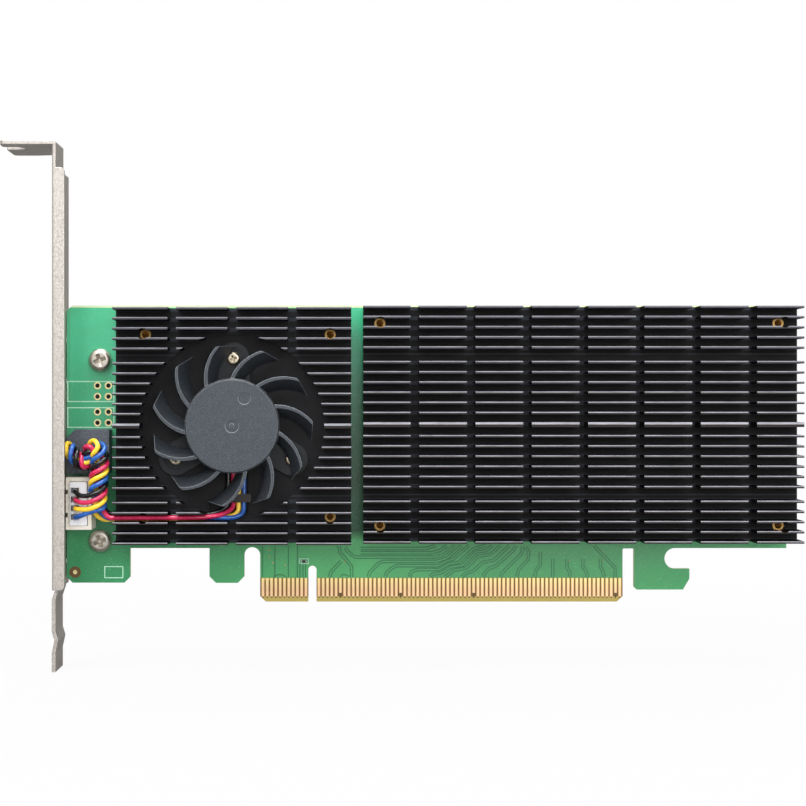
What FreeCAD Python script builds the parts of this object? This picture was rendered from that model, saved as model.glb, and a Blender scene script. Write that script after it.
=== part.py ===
"""Expansion card that carries two M.2 drives under a finned heatsink, beside a fan-cooled switch chip.

The card stands upright as it does in a slot: +Z is up, the gold contacts point down, and the
component side faces -Y.  The origin is the centre of the key slot, at the bottom edge of the
contact tab and in the board's mid-plane.  Heights above the component face are measured to -Y.
Millimetres throughout.
"""
import FreeCAD, Part
import math
import os
import re
from types import SimpleNamespace

import Sketcher
from FreeCAD import Placement, Rotation, Vector

# ---------------------------------------------------------------- driving dimensions
SIZES = {
    # board outline
    "board_thickness": 1.57,
    "board_left": -57.15,
    "board_top": 68.9,
    "board_lower_edge": 12.5,
    "corner_chamfer": 1.2,
    "foot_right": -42.4,
    "foot_bottom": 4.45,
    "foot_chamfer": 1.35,
    "guide_tab_left": -23.95,
    "guide_tab_bottom": 4.4,
    "guide_tab_chamfer": 1.5,
    "contact_tab_left": -12.15,
    "contact_tab_right": 72.15,
    "contact_tab_chamfer": 1.3,
    "relief_slot_width": 3.7,
    "relief_slot_top": 12.7,
    "key_slot_width": 1.9,
    "key_slot_top": 8.4,
    "hook_slot_width": 2.7,
    "hook_slot_top": 12.4,
    "hook_slot_radius": 0.3,
    "hook_slot_chamfer": 0.6,
    "hook_right": 87.7,
    "hook_bottom": 2.85,
    "hook_tip_rise": 2.55,
    "hook_tip_run": 1.5,
    "hook_notch_length": 5.8,
    "hook_notch_radius": 2.4,
    "edge_bevel_height": 1.25,
    "edge_bevel_flat": 0.6,
    "spare_hole_radius": 0.525,
    "spare_hole_pitch": 2.54,
    "spare_hole_left": -50.0,
    "upper_spare_holes": 50.3,
    "lower_spare_holes": 44.2,
    # edge contacts
    "contact_pitch": 1.0,
    "contact_width": 0.7,
    "first_contact": 1.5,
    "contact_bottom": 1.25,
    "contact_top": 5.55,
    "short_contact_bottom": 2.1,
    "contact_thickness": 0.04,
    "contact_strap_height": 0.5,
    # bracket
    "bracket_thickness": 0.86,
    "bracket_gap": 0.2,
    "bracket_front": 14.3,
    "bracket_back": 4.1,
    "bracket_bend_radius": 0.5,
    "lip_width": 2.8,
    "lip_bottom": 4.2,
    "lip_top": 99.2,
    "lip_corner_radius": 1.0,
    "neck_width": 10.8,
    "flange_top": 105.22,
    "flange_length": 11.8,
    "flange_corner": 1.2,
    "flange_notch_width": 4.42,
    "flange_notch_depth": 4.6,
    "flange_notch_back": 4.6,
    "flange_root_run": 1.5,
    "flange_shoulder_start": 2.5,
    "flange_shoulder_end": 6.5,
    "flange_shoulder_drop": 0.8,
    "flange_root_radius": 1.0,
    "tongue_tip": -14.8,
    "tongue_near": 9.9,
    "tongue_width": 10.2,
    "tongue_offset": 0.75,
    "tongue_step": 0.6,
    "tongue_bend_start": 0.3,
    "tongue_bend_end": 2.6,
    "tongue_step_top": -5.6,
    "tongue_step_crest": -7.6,
    "tongue_step_bottom": -10.4,
    "ear_height": 8.4,
    "ear_reach": 12.6,
    "ear_relief": 1.2,
    "ear_relief_inset": 0.6,
    "ear_corner_radius": 1.2,
    "bracket_screw_inset": 7.85,
    "upper_bracket_screw": 56.2,
    "lower_bracket_screw": 14.2,
    "bracket_screw_radius": 1.5,
    "bracket_screw_head_radius": 2.7,
    "bracket_screw_head_height": 1.7,
    "bracket_screw_length": 3.4,
    "screw_clearance": 0.1,
    # heatsinks
    "heatsink_lift": 5.0,
    "heatsink_base": 2.0,
    "fin_height": 6.3,
    "fin_thickness": 0.54,
    "centre_fin_thickness": 1.1,
    "first_fin_offset": 2.61,
    "fin_pitch": 2.29,
    "wide_fin_pitch": 3.3,
    "fin_cut_width": 1.95,
    "switch_heatsink_length": 53.8,
    "switch_fin_cut_pitch": 13.5,
    "heatsink_gap": 2.7,
    "heatsink_overhang": 0.65,
    "drive_heatsink_mid": 41.4,
    "drive_heatsink_length": 99.2,
    "drive_fin_cut_pitch": 12.67,
    "well_radius": 20.8,
    "well_floor": 6.4,
    "cable_slot_floor": 5.7,
    "cable_slot_width": 5.4,
    "cable_slot_shift": 0.6,
    "cable_turn_reach": 5.5,
    "cable_turn_top": 16.9,
    "cable_slot_end": 20.0,
    "wire_exit_inset": 1.6,
    # brass posts and their screws
    "switch_post_left": -20.1,
    "switch_post_right": 22.1,
    "drive_post_inset_left": 3.85,
    "drive_post_inset_right": 4.35,
    "post_radius": 2.0,
    "post_spigot_radius": 1.25,
    "post_spigot_rise": 0.0,
    "post_recess_radius": 0.8,
    "post_recess_depth": 1.0,
    "post_thread_depth": 4.2,
    "post_screw_radius": 1.0,
    "post_screw_head_radius": 1.9,
    "post_screw_head_height": 1.2,
    "post_screw_length": 5.0,
    # fan
    "fan_x": -17.9,
    "fan_mid": 41.1,
    "fan_base_thickness": 1.0,
    "fan_disc_radius": 10.4,
    "fan_pan_radius": 8.15,
    "fan_pan_depth": 0.5,
    "fan_arm_radius": 3.7,
    "fan_screw_circle": 15.3,
    "fan_screw_radius": 0.8,
    "fan_screw_head_radius": 1.5,
    "fan_screw_head_height": 0.8,
    "fan_screw_length": 1.5,
    "fan_screw_bore_gap": 0.1,
    "fan_screw_recess_radius": 2.4,
    "fan_screw_recess_depth": 0.4,
    "bearing_tube_radius": 2.6,
    "bearing_tube_top": 11.2,
    "bearing_radius": 1.9,
    "bearing_bottom": 7.2,
    "bearing_top": 11.0,
    "bearing_bore_bottom": 6.6,
    "shaft_radius": 0.75,
    "shaft_clearance": 0.05,
    "shaft_bottom": 6.65,
    "shaft_seat_depth": 0.3,
    "retaining_ring_radius": 1.5,
    "retaining_ring_bottom": 6.8,
    "retaining_ring_thickness": 0.22,
    "retaining_groove_depth": 0.2,
    "hub_radius": 10.7,
    "hub_top": 13.0,
    "hub_bottom": 7.8,
    "hub_wall": 0.7,
    "hub_roof": 0.8,
    "hub_bevel": 0.35,
    "hub_boss_radius": 1.6,
    "hub_boss_depth": 0.8,
    "hub_mark_radius": 1.55,
    "hub_mark_inner_radius": 0.54,
    "hub_mark_depth": 0.15,
    "gate_mark_radius": 1.45,
    "gate_mark_x": 2.8,
    "gate_mark_rise": 6.3,
    "blade_count": 11,
    "blade_tip_radius": 18.2,
    "blade_thickness": 0.75,
    "blade_middle_shift": 1.05,
    "blade_bottom": 8.25,
    "blade_top": 12.6,
    "blade_root_angle": 57.1,
    "blade_middle_angle": 44.2,
    "blade_tip_angle": 34.7,
    "blade_pitch_turn": 11.0,
    "yoke_wall": 0.6,
    "yoke_roof": 0.5,
    "yoke_bottom": 8.0,
    "magnet_wall": 1.1,
    "magnet_bottom": 8.1,
    "magnet_height": 3.4,
    "motor_board_thickness": 0.6,
    "motor_board_radius": 8.0,
    "stator_bottom": 8.8,
    "stator_height": 2.0,
    "air_gap": 0.4,
    "stator_ring_radius": 3.8,
    "stator_shoe": 0.9,
    "tooth_width": 2.4,
    "tooth_gap": 1.2,
    "coil_build": 0.6,
    "coil_ring_gap": 0.3,
    "coil_shoe_gap": 0.4,
    # wires, header and plug
    "wire_diameter": 1.05,
    "lead_diameter": 3.6,
    "clip_thickness": 0.5,
    "clip_underside": 7.2,
    "clip_height": 1.9,
    "clip_drop": 15.6,
    "clip_leg": 0.7,
    "header_left": -56.2,
    "header_bottom": 17.3,
    "header_width": 5.9,
    "header_length": 12.0,
    "header_height": 7.4,
    "header_wall_left": 0.95,
    "header_wall_side": 0.95,
    "header_floor": 1.4,
    "header_slit_width": 1.0,
    "header_slit_spread": 5.28,
    "header_slit_depth": 3.0,
    "plug_width": 3.9,
    "plug_length": 9.9,
    "plug_top": 8.3,
    "plug_clearance": 0.1,
    "plug_corner": 0.3,
    "header_pin_pitch": 2.0,
    "header_pin_width": 0.5,
    "pin_hole_clearance": 0.05,
    "header_pin_top": 5.6,
    "header_pin_tail": 1.2,
    "terminal_wall": 0.3,
    "plug_cavity_width": 1.3,
    "plug_cavity_shift": 0.2,
    "plug_cavity_length": 1.9,
    "plug_cavity_depth": 2.6,
    "buzzer_left": -56.3,
    "buzzer_bottom": 30.0,
    "buzzer_width": 9.7,
    "buzzer_length": 10.2,
    "buzzer_height": 5.0,
    "buzzer_chamfer": 1.9,
    "buzzer_corner": 0.3,
    # drive bays
    "socket_gap": 1.6,
    "socket_inset": 6.5,
    "socket_width": 21.9,
    "socket_depth": 8.7,
    "socket_height": 4.2,
    "socket_mouth": 1.0,
    "socket_end_wall": 0.8,
    "socket_mouth_bottom": 2.2,
    "socket_mouth_depth": 5.2,
    "drive_length": 80.0,
    "standoff_radius": 2.75,
    "standoff_height": 2.2,
    "drive_screw_radius": 1.0,
    "drive_screw_head_radius": 1.75,
    "drive_screw_head_height": 0.8,
    "drive_screw_length": 3.0,
    "drive_pad_thickness": 0.7,
    "drive_pad_width": 20.0,
    "drive_pad_length": 66.0,
    # switch chip and its supply parts
    "chip_width": 35.0,
    "chip_substrate": 1.3,
    "chip_lid_width": 27.0,
    "chip_height": 3.4,
    "chip_pad_width": 25.0,
    "inductor_width": 6.6,
    "inductor_pitch": 12.0,
    "inductor_corner": 0.8,
    "inductor_height": 3.0,
    "regulator_width": 5.0,
    "regulator_pitch": 12.0,
    "regulator_height": 0.9,
    "capacitor_length": 3.2,
    "capacitor_width": 1.6,
    "capacitor_height": 1.6,
    "capacitor_pitch": 3.0,
    "capacitor_group": 13.0,
    "supply_row_rise": 21.8,
}

CONTACTS_BEFORE_KEY = 11
CONTACTS_AFTER_KEY = 71
SHORT_CONTACTS = (17, 31, 48, 81)
FINS_NEAR_CENTRE = 6
FINS_OUTSIDE = 5
SWITCH_FIN_CUTS = 3
DRIVE_FIN_CUTS = 7
FAN_ARM_ANGLES = (90, 210, 330)
STATOR_TEETH = 4
LEAD_COLOURS = ("black", "red", "yellow", "blue")
RECESS_TURN = 20
BLADE_SLANT = 1.12  # the blade crosses its circle at a slant, so its cut is this much wider
DRIVE_MIDDLE = "fan_x + switch_heatsink_length / 2 + heatsink_gap + drive_heatsink_length / 2"

size = SimpleNamespace(**SIZES)
doc = FreeCAD.newDocument("adapter_card")
sheet = doc.addObject("Spreadsheet::Sheet", "sizes")
for row, (alias, number) in enumerate(SIZES.items(), start=1):
    sheet.set(f"A{row}", alias)
    sheet.set(f"B{row}", str(number))
    sheet.setAlias(f"B{row}", alias)
doc.recompute()

SUBPARTS = []
FACE_TURN = Rotation(Vector(1, 0, 0), 90)  # local z becomes the height above the component face
FACE = Placement(Vector(0, -size.board_thickness / 2, 0), FACE_TURN)


# ---------------------------------------------------------------- small helpers
def linked(expression):
    """The expression with each size name pointing at the sheet."""
    def point(word):
        name = word.group()
        return f"sizes.{name}" if name in SIZES else name

    return re.sub(r"[a-z][a-z_]+", point, expression)


def bind(feature, **expressions):
    """Binds properties to expressions of the sheet's cells; a double underscore stands for a dot."""
    for name, expression in expressions.items():
        feature.setExpression(name.replace("__", "."), linked(expression))


def keep(feature, label):
    """Lists the feature as the finished sub-part of that name."""
    feature.Label = label
    SUBPARTS.append(feature)
    return feature


def new_body(label, x="0", rise="0"):
    """A body on the component face: its XZ plane is the face, and pads from it grow to -Y."""
    body = doc.addObject("PartDesign::Body", label)
    bind(body, Placement__Base__x=x, Placement__Base__y="-board_thickness / 2", Placement__Base__z=rise)
    return keep(body, label)


def new_sketch(body, name, plane="XZ_Plane", height=None):
    """A sketch on one of the body's own planes, lifted off it by the expression in height."""
    sketch = body.newObject("Sketcher::SketchObject", name)
    support = [feature for feature in body.Origin.OriginFeatures if feature.Role == plane][0]
    sketch.AttachmentSupport = (support, [""])
    sketch.MapMode = "FlatFace"
    if height:
        bind(sketch, AttachmentOffset__Base__z=height)
    return sketch


def rounded(corners):
    """Lines and arcs of a closed outline; a corner is (x, y) or (x, y, radius)."""
    count = len(corners)
    pieces, ends = [], []
    for index, corner in enumerate(corners):
        here = Vector(corner[0], corner[1], 0)
        radius = corner[2] if len(corner) > 2 else 0
        before = Vector(*corners[index - 1][:2], 0) - here
        after = Vector(*corners[(index + 1) % count][:2], 0) - here
        if not radius:
            ends.append((here, here))
            continue
        before.normalize()
        after.normalize()
        half = before.getAngle(after) / 2
        reach = radius / math.tan(half)
        middle = before + after
        middle.normalize()
        start, end = here + before * reach, here + after * reach
        crown = here + middle * (radius / math.sin(half) - radius)
        pieces.append(Part.Arc(start, crown, end))
        ends.append((start, end))
    for index in range(count):
        leave, arrive = ends[index][1], ends[(index + 1) % count][0]
        if leave.distanceToPoint(arrive) > 1e-6:
            pieces.append(Part.LineSegment(leave, arrive))
    return pieces


def sheet_rectangle(sketch, left, right, low, high):
    """A rectangle whose four sides are constrained by expressions of the sheet."""
    corners = [Vector(0, 0, 0), Vector(1, 0, 0), Vector(1, 1, 0), Vector(0, 1, 0)]
    first = sketch.GeometryCount
    for index in range(4):
        sketch.addGeometry(Part.LineSegment(corners[index], corners[(index + 1) % 4]), False)
    for index in range(4):
        sketch.addConstraint(Sketcher.Constraint("Coincident", first + index, 2, first + (index + 1) % 4, 1))
        direction = "Horizontal" if index % 2 == 0 else "Vertical"
        sketch.addConstraint(Sketcher.Constraint(direction, first + index))
    for kind, point, expression in (("DistanceX", 1, left), ("DistanceX", 2, right)):
        number = sketch.addConstraint(Sketcher.Constraint(kind, -1, 1, first, point, float(point)))
        sketch.setExpression(f"Constraints[{number}]", linked(expression))
    for kind, line, expression in (("DistanceY", first, low), ("DistanceY", first + 2, high)):
        number = sketch.addConstraint(Sketcher.Constraint(kind, -1, 1, line, 1, float(line - first)))
        sketch.setExpression(f"Constraints[{number}]", linked(expression))


def sheet_circle(sketch, radius, x="0", y="0"):
    """A circle whose radius and centre are constrained by expressions of the sheet."""
    circle = sketch.addGeometry(Part.Circle(Vector(1, 1, 0), Vector(0, 0, 1), 1.0), False)
    for kind, expression in (("DistanceX", x), ("DistanceY", y)):
        number = sketch.addConstraint(Sketcher.Constraint(kind, -1, 1, circle, 3, 1.0))
        sketch.setExpression(f"Constraints[{number}]", linked(expression))
    number = sketch.addConstraint(Sketcher.Constraint("Radius", circle, 1.0))
    sketch.setExpression(f"Constraints[{number}]", linked(radius))


def pad(body, sketch, length, **settings):
    """Pads the sketch by the expression in length."""
    feature = body.newObject("PartDesign::Pad", sketch.Name + "_pad")
    feature.Profile = sketch
    bind(feature, Length=length)
    for name, setting in settings.items():
        setattr(feature, name, setting)
    sketch.Visibility = False
    return feature


def pocket(body, sketch, length=None, **settings):
    """Cuts the sketch out of the body, to a depth or, with none given, right through both ways."""
    feature = body.newObject("PartDesign::Pocket", sketch.Name + "_pocket")
    feature.Profile = sketch
    if length:
        bind(feature, Length=length)
    else:
        feature.Type = "ThroughAll"
        feature.Midplane = True
    for name, setting in settings.items():
        setattr(feature, name, setting)
    return feature


def polar(body, features, axis, count):
    """Repeats features of the body about one of its axes."""
    pattern = body.newObject("PartDesign::PolarPattern", features[0].Name + "_ring")
    pattern.Originals = features
    line = [feature for feature in body.Origin.OriginFeatures if feature.Role == axis][0]
    pattern.Axis = (line, [""])
    pattern.Angle = 360
    pattern.Occurrences = count
    body.Tip = pattern
    return pattern


def turned_body(label, profile, x="fan_x", rise="fan_mid"):
    """A body revolved about an axis along Y; the profile's corners are (radius, height)."""
    body = new_body(label, x, rise)
    sketch = new_sketch(body, label + "_profile", "XY_Plane")
    for piece in rounded([(corner[0], -corner[1], *corner[2:]) for corner in profile]):
        sketch.addGeometry(piece, False)
    turn = body.newObject("PartDesign::Revolution", label + "_turn")
    turn.Profile = sketch
    turn.ReferenceAxis = (sketch, ["V_Axis"])
    turn.Angle = 360
    body.Tip = turn
    return body


def shape_part(label, shape, placement=FACE):
    """A sub-part whose shape is worked out here from the sheet's sizes."""
    feature = doc.addObject("Part::Feature", label)
    own = shape.Placement
    feature.Shape = shape
    feature.Placement = placement.multiply(own)
    return keep(feature, label)


def block(x0, x1, y0, y1, z0, z1):
    """A plain block between two corners."""
    return Part.makeBox(x1 - x0, y1 - y0, z1 - z0, Vector(x0, y0, z0))


def prism(corners, low, high):
    """An upright prism over a rounded outline."""
    face = Part.Face(Part.Wire(Part.__sortEdges__([piece.toShape() for piece in rounded(corners)])))
    face.translate(Vector(0, 0, low))
    return face.extrude(Vector(0, 0, high - low))


# ---------------------------------------------------------------- circuit board
def contact_row():
    """The centre of every contact along the tab, with its number."""
    after_key = size.first_contact
    row = [(number, -after_key - (CONTACTS_BEFORE_KEY - number) * size.contact_pitch)
           for number in range(1, CONTACTS_BEFORE_KEY + 1)]
    row += [(CONTACTS_BEFORE_KEY + number, after_key + (number - 1) * size.contact_pitch)
            for number in range(1, CONTACTS_AFTER_KEY + 1)]
    return row


def board_outline():
    """The board's outline, clockwise from the top left corner, seen from the component side."""
    s = size
    key = s.key_slot_width / 2
    right = drive_middle() + s.drive_heatsink_length / 2 - s.heatsink_overhang
    relief = s.contact_tab_left - s.relief_slot_width
    hook = s.contact_tab_right + s.hook_slot_width
    notch = s.hook_right - s.hook_notch_length
    notch_low = s.board_lower_edge - 2 * s.hook_notch_radius
    return [
        (s.board_left, s.board_top - s.corner_chamfer),
        (s.board_left + s.corner_chamfer, s.board_top),
        (right, s.board_top),
        (right, s.board_lower_edge),
        (notch, s.board_lower_edge, s.hook_notch_radius * 0.999),
        (notch, notch_low, s.hook_notch_radius * 0.999),
        (s.hook_right, notch_low),
        (s.hook_right, s.hook_bottom + s.hook_tip_rise),
        (s.hook_right - s.hook_tip_run, s.hook_bottom),
        (hook + s.hook_slot_chamfer, s.hook_bottom),
        (hook, s.hook_bottom + s.hook_slot_chamfer),
        (hook, s.hook_slot_top, s.hook_slot_radius),
        (s.contact_tab_right, s.hook_slot_top, s.hook_slot_radius),
        (s.contact_tab_right, s.contact_tab_chamfer),
        (s.contact_tab_right - s.contact_tab_chamfer, 0),
        (key, 0),
        (key, s.key_slot_top, key * 0.999),
        (-key, s.key_slot_top, key * 0.999),
        (-key, 0),
        (s.contact_tab_left + s.contact_tab_chamfer, 0),
        (s.contact_tab_left, s.contact_tab_chamfer),
        (s.contact_tab_left, s.relief_slot_top, s.relief_slot_width / 2 * 0.999),
        (relief, s.relief_slot_top, s.relief_slot_width / 2 * 0.999),
        (relief, s.guide_tab_bottom + s.guide_tab_chamfer),
        (relief - s.guide_tab_chamfer, s.guide_tab_bottom),
        (s.guide_tab_left + s.guide_tab_chamfer, s.guide_tab_bottom),
        (s.guide_tab_left, s.guide_tab_bottom + s.guide_tab_chamfer),
        (s.guide_tab_left, s.board_lower_edge),
        (s.foot_right, s.board_lower_edge),
        (s.foot_right, s.foot_bottom + s.foot_chamfer),
        (s.foot_right - s.foot_chamfer, s.foot_bottom),
        (s.board_left + s.foot_chamfer, s.foot_bottom),
        (s.board_left, s.foot_bottom + s.foot_chamfer),
    ]


def bracket_screw_places():
    """The two bracket screws, as x and rise."""
    x = size.board_left + size.bracket_screw_inset
    return [(x, size.upper_bracket_screw), (x, size.lower_bracket_screw)]


def fin_offsets():
    """Fin centres above the middle fin, with the wide gap after the inner group."""
    inner = [size.first_fin_offset + number * size.fin_pitch for number in range(FINS_NEAR_CENTRE)]
    outer = [inner[-1] + size.wide_fin_pitch + number * size.fin_pitch for number in range(FINS_OUTSIDE)]
    return inner + outer


def half_span():
    """Half the heatsink's width across its fins."""
    return fin_offsets()[-1] + size.fin_thickness / 2


def switch_post_places():
    """The four brass posts of the square heatsink, in the gap beside its third fin from outside."""
    gap = fin_offsets()[-3] - size.fin_pitch / 2
    return [(size.fan_x + side, size.fan_mid + rise)
            for side in (size.switch_post_left, size.switch_post_right) for rise in (gap, -gap)]


def drive_middle():
    """The long heatsink's middle: past the square heatsink and the gap between the two."""
    s = size
    return s.fan_x + s.switch_heatsink_length / 2 + s.heatsink_gap + s.drive_heatsink_length / 2


def drive_post_places():
    """The four brass posts of the long heatsink, in the gap beside its second fin from outside."""
    gap = fin_offsets()[-2] - size.fin_pitch / 2
    half = size.drive_heatsink_length / 2
    sides = (-half + size.drive_post_inset_left, half - size.drive_post_inset_right)
    return [(drive_middle() + side, size.drive_heatsink_mid + rise)
            for side in sides for rise in (gap, -gap)]


def bay_rises():
    """The middle of each drive bay above the board's lower edge."""
    half = (size.socket_width + size.socket_gap) / 2
    return [size.drive_heatsink_mid + half, size.drive_heatsink_mid - half]


def socket_back():
    """The back edge of both drive sockets."""
    return drive_middle() - size.drive_heatsink_length / 2 + size.socket_inset


def standoff_x():
    """The far end of a drive, where its screw goes."""
    return socket_back() + size.socket_depth - size.socket_mouth_depth + size.drive_length


def header_pin_places():
    """The four pins of the fan header."""
    x = header_middle()
    middle = size.header_bottom + size.header_length / 2
    return [(x, middle + (1.5 - number) * size.header_pin_pitch) for number in range(4)]


def header_middle():
    """The middle of the header's inner well, where plug and pins stand."""
    left = size.header_left + size.header_wall_left
    return (left + left + size.plug_width + 2 * size.plug_clearance) / 2


def plated_holes():
    """The two blocks of spare plated holes beside the upper bracket screw."""
    step = size.spare_hole_pitch
    return [(size.spare_hole_left + column * step, top - line * step)
            for top in (size.upper_spare_holes, size.lower_spare_holes)
            for column in range(2) for line in range(2)]


def make_circuit_board():
    body = new_body("circuit_board")
    bind(body, Placement__Base__y="0")
    outline = new_sketch(body, "board_outline")
    for piece in rounded(board_outline()):
        outline.addGeometry(piece, False)
    pad(body, outline, "board_thickness", Midplane=True)

    holes = new_sketch(body, "board_holes")
    circles = [(x, y, size.bracket_screw_radius + size.screw_clearance) for x, y in bracket_screw_places()]
    circles += [(x, y, size.post_screw_radius + size.screw_clearance)
                for x, y in switch_post_places() + drive_post_places()]
    circles += [(standoff_x(), rise, size.drive_screw_radius) for rise in bay_rises()]
    circles += [(x, y, size.spare_hole_radius) for x, y in plated_holes()]
    pin_hole = size.header_pin_width / math.sqrt(2) + size.pin_hole_clearance
    circles += [(x, y, pin_hole) for x, y in header_pin_places()]
    for x, y, radius in circles:
        holes.addGeometry(Part.Circle(Vector(x, y, 0), Vector(0, 0, 1), radius), False)
    pocket(body, holes)

    bevel = new_sketch(body, "edge_bevel", "YZ_Plane")
    half, flat = size.board_thickness / 2, size.edge_bevel_flat / 2
    for side in (1, -1):
        for piece in rounded([(side * flat, 0), (side * (half + 0.01), size.edge_bevel_height + 0.015),
                              (side * (half + 1), 0), (side * flat, -0.5)]):
            bevel.addGeometry(piece, False)
    body.Tip = pocket(body, bevel)


def make_edge_contacts():
    """Gold strips on both faces; the first three on the component side are joined near their tops."""
    s = size
    strips = []
    for number, x in contact_row():
        short = number in SHORT_CONTACTS
        bottom = s.short_contact_bottom if short else s.contact_bottom
        for low, high in ((0, s.contact_thickness),
                          (-s.board_thickness - s.contact_thickness, -s.board_thickness)):
            strips.append(block(x - s.contact_width / 2, x + s.contact_width / 2,
                                bottom, s.contact_top, low, high))
    first, third = strips[0], strips[4]
    strap = block(first.BoundBox.XMin, third.BoundBox.XMax,
                  s.contact_top - s.contact_strap_height, s.contact_top, 0, s.contact_thickness)
    joined = strips[0].fuse([strap, strips[2], strips[4]]).removeSplitter()
    rest = [strip for index, strip in enumerate(strips) if index not in (0, 2, 4)]
    shape_part("edge_contacts", Part.makeCompound(joined.Solids + rest))


# ---------------------------------------------------------------- bracket and its screws
def bracket_inner():
    """The bracket's face towards the board."""
    return size.board_left - size.bracket_gap


def make_io_bracket():
    """One folded sheet: plate with a front lip, a notched flange, a stepped tongue and two ears."""
    s = size
    inner, outer = bracket_inner(), bracket_inner() - s.bracket_thickness
    body = new_body("io_bracket")

    plate = new_sketch(body, "bracket_plate")
    sheet_rectangle(plate, "board_left - bracket_gap - bracket_thickness", "board_left - bracket_gap",
                    "lip_bottom", "lip_top")
    pad(body, plate, "bracket_front", Type2="Length", SideType="Two sides")
    bind(body.Tip, Length2="bracket_back")

    lip = new_sketch(body, "bracket_lip", height="bracket_front - bracket_thickness")
    far = outer + s.lip_width
    for piece in rounded([(outer, s.lip_bottom), (outer, s.lip_top),
                          (far, s.lip_top, s.lip_corner_radius), (far, s.lip_bottom, s.lip_corner_radius)]):
        lip.addGeometry(piece, False)
    pad(body, lip, "bracket_thickness")

    neck = new_sketch(body, "bracket_neck", height="bracket_front - neck_width")
    sheet_rectangle(neck, "board_left - bracket_gap - bracket_thickness", "board_left - bracket_gap",
                    "lip_top - 1", "flange_top")
    pad(body, neck, "neck_width")

    flange = new_sketch(body, "bracket_flange", "XY_Plane", height="flange_top - bracket_thickness")
    tip = outer - s.flange_length
    front, back = -s.bracket_front, s.bracket_back
    neck_back = front + s.neck_width
    middle = front + s.flange_notch_back + s.flange_notch_width / 2
    notch = s.flange_notch_width / 2
    root = tip + s.flange_notch_depth
    for piece in rounded([
            (inner, front), (inner, neck_back), (outer - s.flange_root_run, neck_back, s.flange_root_radius),
            (outer - s.flange_shoulder_start, back - s.flange_shoulder_drop, s.flange_root_radius),
            (outer - s.flange_shoulder_end, back, s.flange_corner), (tip, back, s.flange_corner),
            (tip, middle + notch, 0.4),
            (root, middle + notch, notch * 0.999), (root, middle - notch, notch * 0.999),
            (tip, middle - notch, 0.4), (tip, front, s.flange_corner)]):
        flange.addGeometry(piece, False)
    pad(body, flange, "bracket_thickness")

    tongue = new_sketch(body, "bracket_tongue", height="tongue_near - tongue_width")
    shift, step = s.tongue_offset, s.tongue_step
    path = [(0, s.lip_bottom + 1.5), (0, s.lip_bottom - s.tongue_bend_start),
            (-shift, s.lip_bottom - s.tongue_bend_end), (-shift, s.tongue_step_top),
            (-shift + step, s.tongue_step_crest), (-shift, s.tongue_step_bottom), (-shift, s.tongue_tip)]
    right = [(inner + x, y) for x, y in path]
    left = [(outer + x, y) for x, y in reversed(path)]
    for piece in rounded(right + left):
        tongue.addGeometry(piece, False)
    pad(body, tongue, "tongue_width")

    relief = new_sketch(body, "ear_reliefs", "YZ_Plane", height=f"{outer - 1}")
    ears = new_sketch(body, "bracket_ears", height="-board_thickness - bracket_thickness")
    half = s.ear_height / 2
    reach = inner + s.ear_reach
    edge = s.board_thickness + s.bracket_thickness
    inset = s.board_thickness - s.ear_relief_inset
    for x, rise in bracket_screw_places():
        for low, high in ((rise - half - s.ear_relief, rise - half), (rise + half, rise + half + s.ear_relief)):
            for piece in rounded([(inset, low), (s.bracket_back + 1, low),
                                  (s.bracket_back + 1, high), (inset, high)]):
                relief.addGeometry(piece, False)
        for piece in rounded([(edge, rise - half), (s.bracket_back + 1, rise - half),
                              (s.bracket_back + 1, rise + half), (edge, rise + half)]):
            relief.addGeometry(piece, False)
        for piece in rounded([(outer, rise - half), (reach, rise - half, s.ear_corner_radius),
                              (reach, rise + half, s.ear_corner_radius), (outer, rise + half)]):
            ears.addGeometry(piece, False)
        ears.addGeometry(Part.Circle(Vector(x, rise, 0), Vector(0, 0, 1), s.bracket_screw_radius), False)
    pocket(body, relief, "lip_width", Reversed=True)
    folded = pad(body, ears, "bracket_thickness")
    body.Tip = folded
    doc.recompute()
    bends = body.newObject("PartDesign::Fillet", "bracket_bends")
    bends.Base = (folded, edges_along(folded.Shape, x=outer, y=front)
                  + edges_along(folded.Shape, x=inner, z=s.flange_top))
    bind(bends, Radius="bracket_bend_radius")
    body.Tip = bends


def edges_along(shape, **place):
    """The names of the straight edges whose two ends both lie at the given coordinates."""
    names = []
    for number, edge in enumerate(shape.Edges, start=1):
        ends = [vertex.Point for vertex in edge.Vertexes]
        if all(abs(getattr(end, axis) - value) < 1e-4 for end in ends for axis, value in place.items()):
            names.append(f"Edge{number}")
    return names


def cross_recess(radius, depth):
    """A Phillips recess below z = 0, as a tapered cross."""
    arm = radius * 0.32
    cone = Part.makeCone(radius * 0.18, radius, depth, Vector(0, 0, -depth), Vector(0, 0, 1))
    cross = block(-radius, radius, -arm, arm, -depth, 0).fuse(block(-arm, arm, -radius, radius, -depth, 0))
    return cross.common(cone)


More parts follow.
